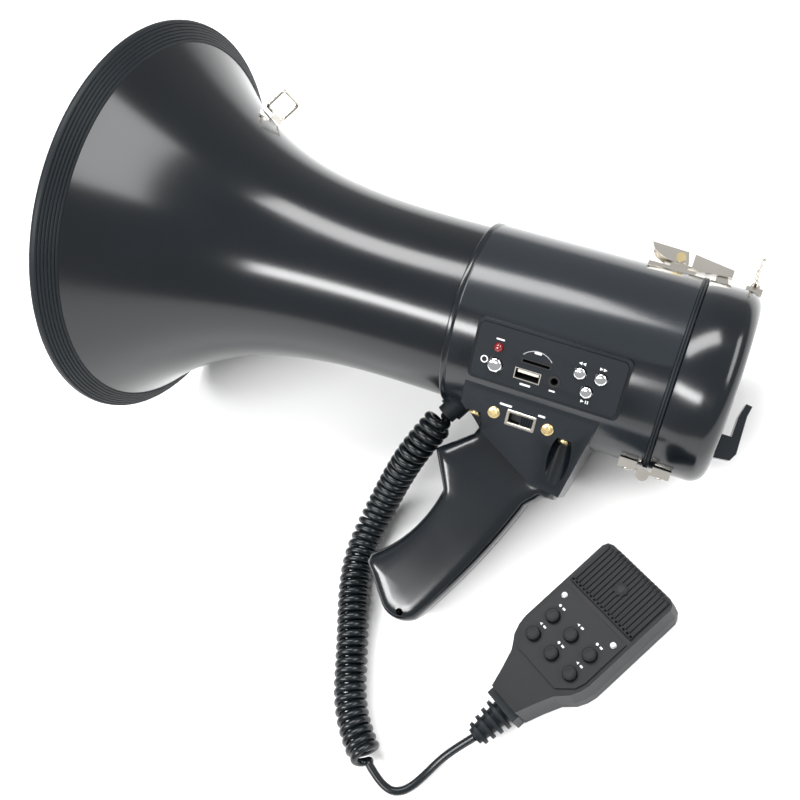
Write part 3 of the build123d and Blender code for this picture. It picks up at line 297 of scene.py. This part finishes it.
lathe("body_bead", bead_profile, GLOSS, "megaphone", steps=192, smooth=50)

# ---- Batteries and boards --------------------------------------------------------------------------------
# Eight C cells in a dark tray, with a steel contact plate in the cap, and three green circuit boards: the
# amplifier and the player in the body, and a small one in the microphone.
JACKET = material("cell_jacket", "#2b4a6b", "#355a80", (0.3, 0.4), 0.5, 0.05)
BOARD = material("board_green", "#12402a", "#185235", (0.35, 0.45), 0.3, 0.1)
dress(DARK, "battery_tray")
dress(STEEL, "contact_plate")
dress(JACKET, "battery_cells")
dress(BOARD, "amplifier_board", "player_board", "mic_board")

# ---- Control panel ---------------------------------------------------------------------------------------
# A matt moulded plate with its sockets set through it: a nickel socket with an ivory tongue, a card slot,
# a jack and a red lamp. The card slot and jack are dark, and the socket's inside is dark painted shade.
PANEL = material("panel_charcoal", "#0e1215", "#161b1f", (0.42, 0.52), 0.25, 0.3, wear=0.2, worn="#3a3c40",
                 shine=0.1)
NICKEL = material("nickel_plate", "#cfc8bb", "#ddd8ce", (0.12, 0.26), 0.4, 0.08, metal=1.0, wear=0.5,
                  worn="#f2efe8")
RED = material("led_red", "#5f070c", "#7d0a11", (0.08, 0.12), 1.0, 0.02, coat=0.6)
IVORY = material("socket_tongue", "#d9d5c8", "#e2ddd0", (0.4, 0.5), 0.4, 0.1)


def sloped(origin, angle):
    """x rearwards, y up the face, z out of it, for a face leaning down by angle."""
    c, d = math.cos(math.radians(angle)), math.sin(math.radians(angle))
    turn = Matrix(((-1, 0, 0, 0), (0, d, c, 0), (0, c, -d, 0), (0, 0, 0, 1)))
    return HORN @ Matrix.Translation(origin) @ turn


PANEL_ANGLE = 24.0
reach = BODY_R + 0.7
PANEL_FACE = sloped((84.7, reach * math.cos(math.radians(PANEL_ANGLE)),
                     -reach * math.sin(math.radians(PANEL_ANGLE))), PANEL_ANGLE)
dress(PANEL, "control_panel", edge=0.35)
dress(RED, "power_led")
dress(NICKEL, "usb_socket")
dress(DARK, "card_slot", "aux_jack")


def recolour(name, at, mat, test):
    """Gives a second material to the faces of a solid piece that a test picks by their place in a frame."""
    piece = frame["nodes"][name]
    piece.data.materials.append(mat)
    back = at.inverted() @ piece.matrix_world
    for face in piece.data.polygons:
        if test(back @ face.center):
            face.material_index = len(piece.data.materials) - 1


# The nickel socket's faces inside its opening, below the plate, take the dark material: painted shade.
USB_SPOT = PANEL_FACE @ Matrix.Translation((-8.5, -6.4, 0))
recolour("usb_socket", USB_SPOT, DARK, lambda p: abs(p.x) < 6.2 and abs(p.y) < 2.5 and p.z < -0.2)
recolour("player_board", PANEL_FACE, IVORY, lambda p: p.z > -11.5)

# ---- Panel buttons ---------------------------------------------------------------------------------------
# Four chromed plastic domes, each with a flange behind the plate that keeps it from falling out. Each
# rides on its own body, so it can be pressed.
CHROME = material("button_chrome", "#d9dadd", "#eeeff1", (0.05, 0.12), 1.0, 0.01, metal=1.0)
# Turns a frame so that its x axis points where its z did.
OUTWARD = Matrix(((0, 1, 0, 0), (0, 0, 1, 0), (1, 0, 0, 0), (0, 0, 0, 1)))


def upon(at, x, y, z=0.0):
    """A frame whose x axis points out of another frame's z, standing at x, y, z."""
    return at @ Matrix.Translation((x, y, z)) @ OUTWARD


for label, x, y, radius in (("mode_button", -25.2, -6.0, 3.65), ("back_button", 15.4, 2.6, 3.0),
                            ("forward_button", 25.6, 2.6, 3.0), ("play_button", 20.6, -5.6, 3.0)):
    profile = [(-2.9, 0.02), (-2.9, radius + 0.7), (-2.1, radius + 0.7), (-2.1, radius), (0.55, radius)]
    profile += [(0.55 + 1.25 * math.sin(math.radians(a)), radius * math.cos(math.radians(a)) ** 0.6)
                for a in range(10, 91, 10)]
    profile[-1] = (1.8, 0.02)
    dome = lathe(label + "_dome", profile, CHROME, label, steps=48,
                 at=upon(PANEL_FACE, x, y), smooth=50)
    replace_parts(dome, label)

# ---- Saddle and its screws -------------------------------------------------------------------------------
# The saddle is a glossy moulded base under the body. Four pan-head screws sit in its pockets and two hold
# the switch; all are yellow zinc plated with a cross recess.
GOLD = material("yellow_zinc", "#d6bd86", "#e6d3a2", (0.2, 0.36), 0.3, 0.12, metal=1.0, wear=0.5,
                worn="#f3e2ae")
dress(GLOSS, "saddle", edge=0.9)
SADDLE_SLOPE, SWITCH_DROP = 23.0, 9.5
lean = math.radians(SADDLE_SLOPE)
SADDLE_FACE = sloped((91.5, 33.5 - SWITCH_DROP * math.sin(lean), -39.0 - SWITCH_DROP * math.cos(lean)),
                     SADDLE_SLOPE)
DOWNWARD = HORN @ Matrix(((1, 0, 0, 0), (0, -1, 0, 0), (0, 0, -1, 0), (0, 0, 0, 1)))
RIGHTWARD = HORN @ Matrix(((1, 0, 0, 0), (0, 0, -1, 0), (0, 1, 0, 0), (0, 0, 0, 1)))


def joined(name, parts):
    """Several pieces made one, under a new name."""
    bpy.ops.object.select_all(action="DESELECT")
    for part in parts:
        part.select_set(True)
    bpy.context.view_layer.objects.active = parts[0]
    if len(parts) > 1:
        bpy.ops.object.join()
    made = bpy.context.view_layer.objects.active
    made.name = name
    made.select_set(False)
    return made


def cut(piece, at, outline, low, high):
    """Takes an outline, square to a frame's x axis, out of a piece between two stations."""
    n = len(outline)
    mesh = bpy.data.meshes.new("cutter")
    mesh.from_pydata([at @ Vector((x, a, b)) for x in (low, high) for a, b in outline], [],
                     [tuple(range(n)), tuple(range(2 * n - 1, n - 1, -1))]
                     + [(i, (i + 1) % n, n + (i + 1) % n, n + i) for i in range(n)])
    work = bmesh.new()
    work.from_mesh(mesh)
    bmesh.ops.recalc_face_normals(work, faces=work.faces)
    work.to_mesh(mesh)
    work.free()
    cutter = bpy.data.objects.new("cutter", mesh)
    bpy.context.scene.collection.objects.link(cutter)
    step = piece.modifiers.new("cut", "BOOLEAN")
    step.operation = "DIFFERENCE"
    step.object = cutter
    step.solver = "EXACT"
    bpy.context.view_layer.objects.active = piece
    bpy.ops.object.modifier_apply(modifier=step.name)
    bpy.data.objects.remove(cutter)


def cross_head(name, at, radius, height, mat, body, shank=0.0, low=0.0):
    """A pan-head screw with a cross recess, its axis along the frame's x, its seat at x low."""
    top = low + height
    profile = [(low, 0.02), (low, radius * 0.96)]
    profile += [(low + height * (0.25 + 0.75 * math.sin(math.radians(a))),
                 radius * math.cos(math.radians(a)) ** 0.55)
                for a in range(0, 81, 10)]
    profile += [(top, 0.02)]
    if shank:
        profile = [(low - shank, 0.02), (low - shank, 1.5), (low, 1.5)] + profile[1:]
    head = lathe(name, profile, mat, body, steps=40, at=at, smooth=50)
    arm, half = radius * 0.62, radius * 0.17
    plus = [(half, half), (arm, half), (arm, -half), (half, -half), (half, -arm), (-half, -arm),
            (-half, -half), (-arm, -half), (-arm, half), (-half, half), (-half, arm), (half, arm)]
    cut(head, at, plus, top - height * 0.45, top + 1.0)
    return head


screws = [cross_head("saddle_screw", upon(DOWNWARD, x, side * 24.5, 50.0), 3.2, 2.0, GOLD, "megaphone",
                     shank=12.0)
          for x in (68.4, 115.4) for side in (-1, 1)]
screws += [cross_head("switch_screw", upon(SADDLE_FACE, side * 14.0, 0.0), 3.2, 1.2, GOLD, "megaphone",
                      shank=6.0)
           for side in (-1, 1)]
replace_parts(joined("saddle_screws_pan", screws), "saddle_screws")

# ---- Slide switch ----------------------------------------------------------------------------------------
# A bright folded rim, a nickel frame whose inside is dark painted shade, and a black knob with five ribs
# across it. The knob slides along the frame's slot and stands near its rear end at rest.
dress(NICKEL, "switch_frame")
# The frame's faces inside the slot, below its face, take the dark material: painted shade.
recolour("switch_frame", SADDLE_FACE, DARK, lambda p: abs(p.x) < 6.6 and abs(p.y) < 2.6 and p.z < -0.1)


def rectangle(cx, cy, wide, tall, corner):
    x, y = wide / 2 - corner, tall / 2 - corner
    points = []
    for px, py, start in ((x, y, 0), (-x, y, 90), (-x, -y, 180), (x, -y, 270)):
        points += arc(cx + px, cy + py, corner, start, start + 90, 4)
    return points


def ring_prism(name, outer, inner, low, high, mat, body, at=HORN, bevel=0.15):
    """A frame between two outlines of as many points, extruded from low to high."""
    n = len(outer)
    verts = [(x, y, z) for z in (low, high) for line in (outer, inner) for x, y in line]
    faces = []
    for i in range(n):
        j = (i + 1) % n
        faces += [(i, j, n + j, n + i), (2 * n + i, 2 * n + j, 3 * n + j, 3 * n + i)]
        faces += [(i, j, 2 * n + j, 2 * n + i), (n + i, n + j, 3 * n + j, 3 * n + i)]
    return finish_mesh(name, verts, faces, at, mat, body, bevel=bevel)


ring_prism("switch_rim", rectangle(0, 0, 15.2, 8.2, 0.5), rectangle(0, 0, 12.6, 5.2, 0.3), 0.0, 0.45, NICKEL,
           "megaphone", at=SADDLE_FACE, bevel=0.12)
SLOT_LENGTH, KNOB_LENGTH, KNOB_GAP, TEETH = 14.0 - 1.6, 6.5, 0.2, 5
knob_middle = SLOT_LENGTH / 2 - KNOB_LENGTH / 2 - KNOB_GAP
teeth = []
for i in range(TEETH):
    start = knob_middle - KNOB_LENGTH / 2 + KNOB_LENGTH / TEETH * i
    teeth += [(start, 0.1), (start + 0.25, 0.7), (start + 1.05, 0.7), (start + 1.3, 0.1)]
knob_foot = [(knob_middle + half * KNOB_LENGTH / 2, -3.1) for half in (-1, 1)]
knob_line = knob_foot[:1] + teeth[1:-1] + knob_foot[1:]
knob = prism("switch_knob_ribbed", knob_line, -2.2, 2.2, PANEL, "switch", at=SADDLE_FACE,
             bevel=0.08, plane="xz")
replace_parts(knob, "switch_knob")

# ---- Grip ------------------------------------------------------------------------------------------------
# Two moulded halves, crowned on their sides, which meet on a seam. Screws go in from the right and a
# lanyard hole passes through the end.


def disc(cx, cy, radius, steps=24):
    return [(cx + radius * math.cos(2 * math.pi * i / steps), cy + radius * math.sin(2 * math.pi * i / steps))
            for i in range(steps)]


def arc_through(a, m, b, steps):
    """Points after a on the circle through three points, ending at b."""
    (ax, ay), (mx, my), (bx, by) = a, m, b
    d = 2 * (ax * (my - by) + mx * (by - ay) + bx * (ay - my))
    aa, mm, bb = ax * ax + ay * ay, mx * mx + my * my, bx * bx + by * by
    cx = (aa * (my - by) + mm * (by - ay) + bb * (ay - my)) / d
    cy = (aa * (bx - mx) + mm * (ax - bx) + bb * (mx - ax)) / d
    first, last = math.atan2(ay - cy, ax - cx), math.atan2(by - cy, bx - cx)
    turned = (last - first + math.pi) % (2 * math.pi) - math.pi
    radius = math.hypot(ax - cx, ay - cy)
    return [(cx + radius * math.cos(first + turned * i / steps),
             cy + radius * math.sin(first + turned * i / steps))
            for i in range(1, steps + 1)]


def straight(a, b, steps=6):
    return [(a[0] + (b[0] - a[0]) * i / steps, a[1] + (b[1] - a[1]) * i / steps) for i in range(1, steps + 1)]


# The grip's side line, from its front top down the finger side, round the end and up the back, as (x, z).
grip_line = [(112.0, -50.0)] + straight((112.0, -50.0), (116.0, -61.0))
grip_line += straight((116.0, -61.0), (133.0, -75.0)) + straight((133.0, -75.0), (122.0, -94.0))
grip_line += arc_through((122.0, -94.0), (131.5, -120.5), (148.0, -139.5), 16)
grip_line += straight((148.0, -139.5), (149.0, -143.5), 2) + straight((149.0, -143.5), (133.5, -163.0), 8)
grip_line += arc_through((133.5, -163.0), (123.5, -167.3), (113.5, -163.5), 8)
grip_line += arc_through((113.5, -163.5), (94.0, -126.7), (78.5, -88.0), 24)
grip_line += straight((78.5, -88.0), (72.0, -81.5), 3)
grip_line += straight((72.0, -81.5), (66.0, -80.6), 2) + straight((66.0, -80.6), (66.0, -60.0), 4)
grip_line += straight((66.0, -60.0), (112.0, -50.0), 8)[:-1]
SPINE_TOP, SPINE_END = Vector((95.0, -72.0)), Vector((124.0, -150.0))
# How far each layer, at a distance from the seam, is drawn in towards the spine.
GRIP_LAYERS = [(0.03, 0.012), (0.35, 0.0), (7.0, 0.0), (9.0, 0.015), (11.0, 0.05), (12.4, 0.11), (13.3, 0.2),
               (13.8, 0.34), (14.0, 0.55), (14.0, 0.9)]
GRIP_SCREWS, LANYARD_HOLE = ((102.0, -100.0), (120.0, -138.0)), (122.5, -162.0)
for way, label in ((1, "grip_left"), (-1, "grip_right")):
    verts = []
    for y, pull in GRIP_LAYERS:
        for x, z in grip_line:
            run = SPINE_END - SPINE_TOP
            place = min(max((Vector((x, z)) - SPINE_TOP).dot(run) / run.length_squared, 0.0), 1.0)
            core = SPINE_TOP + run * place
            inward = Vector((x, z)).lerp(core, pull)
            verts.append((inward.x, y * way, inward.y))
    n = len(grip_line)
    faces = [(k * n + i, k * n + (i + 1) % n, (k + 1) * n + (i + 1) % n, (k + 1) * n + i)
             for k in range(len(GRIP_LAYERS) - 1) for i in range(n)]
    faces += [tuple(range(n)), tuple(range(len(verts) - 1, len(verts) - n - 1, -1))]
    half_grip = finish_mesh(label + "_crowned", verts, faces, HORN, GLOSS, "megaphone",
                            smooth=46)
    cut(half_grip, upon(RIGHTWARD, *LANYARD_HOLE), disc(0, 0, 2.0), -20.0, 20.0)
    if way < 0:
        for x, z in GRIP_SCREWS:
            cut(half_grip, upon(RIGHTWARD, x, z), disc(0, 0, 3.5), 11.0, 20.0)
    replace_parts(half_grip, label + "_shell")
screws = [cross_head("grip_screw", upon(RIGHTWARD, x, z, 11.0), 3.2, 2.0, NICKEL, "megaphone",
                     shank=20.0)
          for x, z in GRIP_SCREWS]
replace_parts(joined("grip_screws_pan", screws), "grip_screws")

# ---- Hinge, latch, strap loops and hook ------------------------------------------------------------------
# Bent and plated steel: nickel leaves, lever and loops, with yellow rivets. The hook for the microphone is
# black plastic and rides on the cap.
dress(NICKEL, "hinge_body_leaf", "hinge_pin", "hinge_cap_leaf", "latch_base", "latch_lever", "latch_claw")
dress(NICKEL, "latch_keeper", "front_strap_bracket", "front_strap_loop", "rear_strap_bracket",
      "rear_strap_loop")
dress(GOLD, "latch_rivets")
dress(GLOSS, "mic_hook", edge=0.6)
for x, body in ((20.2, "cap"), (36.8, "megaphone")):
    for side in (-1, 1):
        cross_head("hinge_screw", upon(DOWNWARD, x, side * 8.4, 53.1), 2.1, 0.9, NICKEL, body)

# ---- Microphone ------------------------------------------------------------------------------------------
# Two moulded covers in matt charcoal and dark grey, a button plate with six knurled buttons, and a slotted
# grille that curves over the top end.
MIC_PLACE = Vector((62.1, 177.7, 0.0))
MIC_HEADING = -118.0
low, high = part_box("mic_board")
BOARD_CENTRE = Matrix.Rotation(math.radians(MIC_HEADING), 4, "Z") @ Vector((41.0, 0.0, 0.0))
SHIFT = (Vector(low) + Vector(high)) / 2 / MM - BOARD_CENTRE - MIC_PLACE
SHIFT.z = 0.0
MIC = (Matrix.Scale(MM, 4) @ Matrix.Translation(MIC_PLACE + SHIFT)
       @ Matrix.Rotation(math.radians(MIC_HEADING), 4, "Z"))
CHARCOAL = material("mic_charcoal", "#17191a", "#202224", (0.36, 0.46), 0.3, 0.25, wear=0.25, worn="#2e2f31",
                    shine=0.12)
GREY = material("mic_side", "#1e2022", "#26282b", (0.45, 0.55), 0.35, 0.3, wear=0.2, worn="#45474a",
                shine=0.15)
dress(CHARCOAL, "mic_front_cover", edge=0.7)
dress(CHARCOAL, "mic_button_plate", edge=0.3)
dress(GREY, "mic_back_cover", edge=0.6)
dress(RUBBER, "mic_strain_relief", edge=0.5)
dress(DARK, "mic_capsule")
screws = [cross_head("mic_screw", upon(MIC, 56.5, side * 17.0, 26.2), 1.7, 0.4, STEEL, "megaphone") for side in (-1, 1)]
screws += [cross_head("grille_screw", upon(MIC, 78.25, 0.0, 26.8), 1.9, 0.2, DARK, "megaphone")]
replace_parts(joined("mic_screws_pan", screws), "mic_screws")
MIC_BUTTONS = [(x, y) for x in (32.0, 45.0) for y in (13.0, 0.0, -13.0)]
for i, (x, y) in enumerate(MIC_BUTTONS):
    label = "mic_button_%d" % (i + 1)
    ridged = [(x + r * math.cos(a), y + r * math.sin(a)) for k in range(96)
              for r, a in [((3.5, 3.5, 3.26, 3.26)[k % 4], 2 * math.pi * k / 96)]]
    knurled = prism("knurl", ridged, 25.0, 29.2, CHARCOAL, label, at=MIC, bevel=0)
    crown_profile = [(22.0, 0.02), (22.0, 3.5), (23.85, 3.5), (23.85, 4.3), (24.75, 4.3), (24.75, 3.4),
                     (28.9, 3.4), (29.35, 3.2), (29.6, 2.6), (29.5, 2.0), (29.5, 0.02)]
    crown = lathe("crown", crown_profile, CHARCOAL, label, steps=48, at=upon(MIC, x, y),
                  smooth=40)
    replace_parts(joined(label + "_knurled", [crown, knurled]), label)

GRILLE_X0, GRILLE_HALF, BARS, BAR_INSET, BAR_HALF = 64.0, 21.0, 16, 1.2, 0.72
pieces = [prism("backing", rectangle(77.2, 0, 26.0, 41.0, 2.0), 25.05, 25.6, DARK, "megaphone",
                at=MIC, bevel=0)]
# A bar's top line, along the face and over the end, and its underside, as (x, z).
crest = [(GRILLE_X0 + 0.6, 26.6)]
crest += [(88.0 + 4.6 * math.sin(math.radians(a)), 22.0 + 4.6 * math.cos(math.radians(a)))
          for a in range(0, 91, 10)]
crest += [(93.0, 17.5)]
under = [(92.0, 17.5), (91.6, 22.0), (89.5, 25.02), (GRILLE_X0 + 0.6, 25.02)]
pitch = 2 * (GRILLE_HALF - BAR_INSET) / BARS
for i in range(BARS + 1):
    y = -GRILLE_HALF + BAR_INSET + pitch * i
    bar_line = crest + under
    if abs(y) > 17.0:
        bar_line = [(min(a, 90.2), b) for a, b in crest[:6]] + [(90.2, 25.02), (GRILLE_X0 + 0.6, 25.02)]
    pieces.append(prism("bar", bar_line, y - BAR_HALF, y + BAR_HALF, CHARCOAL, "megaphone",
                        at=MIC, bevel=0.15, plane="xz"))
pieces.append(prism("sill", rectangle(65.0, 0, 2.0, 41.6, 0.4), 25.05, 26.6, CHARCOAL, "megaphone",
                    at=MIC, bevel=0.2))
notched = [(78.25 + r * math.cos(a), r * math.sin(a)) for k in range(32)
           for r, a in [((3.9, 3.9, 3.2, 3.2)[k % 4], 2 * math.pi * k / 32)]]
pieces.append(prism("boss", notched, 25.1, 26.8, CHARCOAL, "megaphone", at=MIC, bevel=0.15))
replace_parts(joined("mic_grille_bars", pieces), "mic_grille")
# A thin dark sheet low in the gap between the front cover and the grille: painted shade in the gap.
prism("mic_gap_painted_shade", rectangle(62.5, 0, 2.4, 43.0, 0.3), 25.0, 25.12, DARK, "megaphone", at=MIC,
      bevel=0)

# ---- White marks -----------------------------------------------------------------------------------------
# Plain printed shapes where the real one has words: bars, discs, arrows and a ring. A thin steel arc
# lies over the card slot.
INK = material("white_ink", "#c9cacc", "#d6d7d9", (0.5, 0.6), 0.3, 0.1)
marks = []


def mark(at, outline, z=0.0):
    marks.append(prism("mark", outline, z + 0.01, z + 0.07, INK, "megaphone", at=at, bevel=0))


def wedge(x, y, size, way=1):
    near, far = x - way * size * 0.5, x + way * size * 0.5
    return [(near, y - size * 0.5), (far, y), (near, y + size * 0.5)]


mark(PANEL_FACE, rectangle(-25.3, 7.3, 4.2, 0.8, 0.3))
marks.append(ring_prism("mark", disc(-31.0, -4.6, 1.9), disc(-31.0, -4.6, 1.3), 0.01, 0.07, INK, "megaphone",
                        at=PANEL_FACE, bevel=0))
mark(PANEL_FACE, rectangle(-6.0, 6.0, 3.6, 1.2, 0.4))
mark(PANEL_FACE, rectangle(-8.5, -11.4, 5.4, 1.0, 0.4))
mark(PANEL_FACE, rectangle(4.8, -10.2, 3.0, 0.8, 0.3))
for x, way in ((15.4, -1), (25.6, 1)):
    mark(PANEL_FACE, wedge(x - 0.9, 7.6, 1.6, way))
    mark(PANEL_FACE, wedge(x + 0.9, 7.6, 1.6, way))
mark(PANEL_FACE, wedge(19.9, -10.4, 1.6))
mark(PANEL_FACE, rectangle(21.6, -10.4, 0.5, 1.6, 0.1))
mark(PANEL_FACE, rectangle(22.6, -10.4, 0.5, 1.6, 0.1))
mark(SADDLE_FACE, rectangle(-9.0, 5.6, 6.4, 1.1, 0.4))
mark(SADDLE_FACE, rectangle(9.6, 5.6, 3.6, 1.1, 0.4))
outer_arc = arc(-5.7, -2.6, 9.6, 40, 140, 12)
inner_arc = arc(-5.7, -2.6, 9.2, 140, 40, 12)
marks.append(prism("mark", outer_arc + inner_arc, 0.01, 0.12, STEEL, "megaphone", at=PANEL_FACE, bevel=0))
for i, (x, y) in enumerate(MIC_BUTTONS):
    mark(MIC, rectangle(x + 6.3, y - 1.2, 1.0, 1.6, 0.2), 26.2)
    arrow = [(b + x + 6.3, a + y + 1.4) for a, b in wedge(0, 0, 1.4)]
    mark(MIC, disc(x + 6.3, y + 1.4, 0.7, 12) if i % 2 else arrow, 26.2)
joined("printed_marks", marks)

# ---- Cord ------------------------------------------------------------------------------------------------
# A coiled run from the gland, then a plain end to the microphone's relief, in a smooth black jacket. Both
# runs follow the route of the solid pieces that they replace, and a loop works out the turns.
CORD = material("cord_jacket", "#0c1013", "#141a1e", (0.2, 0.3), 0.6, 0.05)
dress(RUBBER, "cord_gland")
GLAND_LEAN = math.radians(30.0)
GLAND_TIP = Vector((131.0 + 9.0 * math.sin(GLAND_LEAN), 0.0, -BODY_R + 1.0 - 9.0 * math.cos(GLAND_LEAN)))
COIL_POINTS = [(149.0, 70.0, 45.0), (160.0, 83.0, 30.0), (168.5, 98.0, 16.5), (173.0, 115.0, 9.8),
               (172.5, 133.5, 9.1), (166.5, 152.0, 9.1), (158.5, 169.5, 9.1), (151.0, 187.0, 9.1),
               (144.0, 204.0, 9.1), (133.0, 219.0, 9.1), (119.5, 230.0, 9.1)]
LEAD_POINTS = [(110.5, 236.5, 7.0), (102.0, 237.5, 4.0), (96.0, 230.5, 2.4), (91.0, 221.0, 3.0),
               (85.0, 210.5, 6.0)]
CORD_R = 2.1
COIL_R = 6.9
PITCH = 4.7
coil_start = HORN @ GLAND_TIP
relief_end = MIC @ Vector((-23.0, 0.0, 11.0))


def route_line(name, points):
    """Points along the smooth NURBS line of a route."""
    line = bpy.data.curves.new(name, "CURVE")
    line.dimensions = "3D"
    line.resolution_u = 24
    spline = line.splines.new("NURBS")
    spline.points.add(len(points) - 1)
    for target, p in zip(spline.points, points):
        target.co = (*p, 1.0)
    spline.order_u = 3
    spline.use_endpoint_u = True
    holder = bpy.data.objects.new(name, line)
    bpy.context.scene.collection.objects.link(holder)
    bpy.context.view_layer.update()
    mesh = bpy.data.meshes.new_from_object(holder)
    walked = [v.co.copy() for v in mesh.vertices]
    bpy.data.objects.remove(holder)
    return walked


def along(points, distance):
    """The point and direction at a distance along a line of points."""
    for a, b in zip(points, points[1:]):
        step = (b - a).length
        if distance <= step:
            return a + (b - a) * (distance / max(step, 1e-9)), (b - a).normalized()
        distance -= step
    return points[-1].copy(), (points[-1] - points[-2]).normalized()


def total(points):
    return sum((b - a).length for a, b in zip(points, points[1:]))


coil_route = route_line("coil_route", [coil_start] + [(Vector(p) + SHIFT) * MM for p in COIL_POINTS])
lead_points = [(Vector(p) + SHIFT) * MM for p in [COIL_POINTS[-1]] + LEAD_POINTS]
lead_route = route_line("lead_route", lead_points + [relief_end])
coil_length = total(coil_route)
lead_length = total(lead_route)
# Over the first and last RAMP millimetres the turns open out from the middle line and close to it again.
RAMP, RAMP_STEPS, RAMP_TURN = 6.0, 9, 270.0
turns = round((coil_length / MM - 2 * RAMP) / PITCH)
per_turn = 16
stations = []
for i in range(RAMP_STEPS + 1):
    share = i / RAMP_STEPS
    stations.append((RAMP * share, RAMP_TURN * share, share * share * (3 - 2 * share)))
for i in range(1, turns * per_turn + 1):
    stations.append((RAMP + (coil_length / MM - 2 * RAMP) * i / (turns * per_turn),
                     RAMP_TURN + 360.0 * i / per_turn, 1.0))
last_angle = stations[-1][1]
for i in range(1, RAMP_STEPS + 1):
    share = i / RAMP_STEPS
    stations.append((coil_length / MM - RAMP * (1 - share), last_angle + RAMP_TURN * share,
                     1 - share * share * (3 - 2 * share)))
side = None
cord_points = []
for distance, angle, share in stations:
    centre, heading = along(coil_route, distance * MM)
    side = (side or heading.cross(Vector((0, 0, 1))))
    side = (side - heading * side.dot(heading)).normalized()
    other = heading.cross(side)
    spread = COIL_R * MM * share
    angle = math.radians(angle)
    cord_points.append(centre + side * spread * math.cos(angle) + other * spread * math.sin(angle))
for i in range(1, 13):
    cord_points.append(along(lead_route, lead_length * i / 12)[0])
cord_curve = bpy.data.curves.new("cord", "CURVE")
cord_curve.dimensions = "3D"
cord_curve.resolution_u = 3
cord_curve.bevel_depth = CORD_R * MM
cord_curve.bevel_resolution = 4
cord_curve.use_fill_caps = True
cord_spline = cord_curve.splines.new("NURBS")
cord_spline.points.add(len(cord_points) - 1)
for target, p in zip(cord_spline.points, cord_points):
    target.co = (*p, 1.0)
cord_spline.order_u = 3
cord_spline.use_endpoint_u = True
cord_piece = bpy.data.objects.new("coiled_cord", cord_curve)
bpy.context.scene.collection.objects.link(cord_piece)
cord_piece.data.materials.append(CORD)
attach(cord_piece, "megaphone")
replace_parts(cord_piece, "cord_coil", "cord_lead")

# ---- Floor and lights ------------------------------------------------------------------------------------
# A white floor just under the object, three broad lamps and a soft grey-white surround.
FLOOR = material("floor_white", "#f4f4f4", "#f6f6f6", (0.7, 0.8), 3.0, 0.02)
bpy.ops.mesh.primitive_plane_add(size=6.0, location=(0, 0, -0.0006))
floor = bpy.context.object
floor.name = "floor"
floor.data.materials.append(FLOOR)


def lamp(name, place, aim, size, power, tall=None):
    data = bpy.data.lights.new(name, "AREA")
    data.shape = "RECTANGLE"
    data.size = size
    data.size_y = tall or size
    data.energy = power
    made = bpy.data.objects.new(name, data)
    made.location = place
    made.rotation_euler = (Vector(aim) - Vector(place)).to_track_quat("-Z", "Y").to_euler()
    bpy.context.scene.collection.objects.link(made)


lamp("key_light", (0.35, 1.1, 1.3), (0, 0, 0), 1.3, 30.0, 0.3)
lamp("fill_light", (-1.3, -0.3, 1.2), (0, 0, 0), 1.5, 20.0, 0.6)
lamp("top_light", (0.3, -0.5, 1.7), (0, 0, 0.05), 1.4, 30.0, 0.5)
world = bpy.data.worlds.new("studio")
bpy.context.scene.world = world
world.use_nodes = True
world.node_tree.nodes["Background"].inputs[0].default_value = (1.0, 1.0, 1.0, 1.0)
world.node_tree.nodes["Background"].inputs[1].default_value = 0.5
bpy.context.scene.view_settings.view_transform = "Standard"
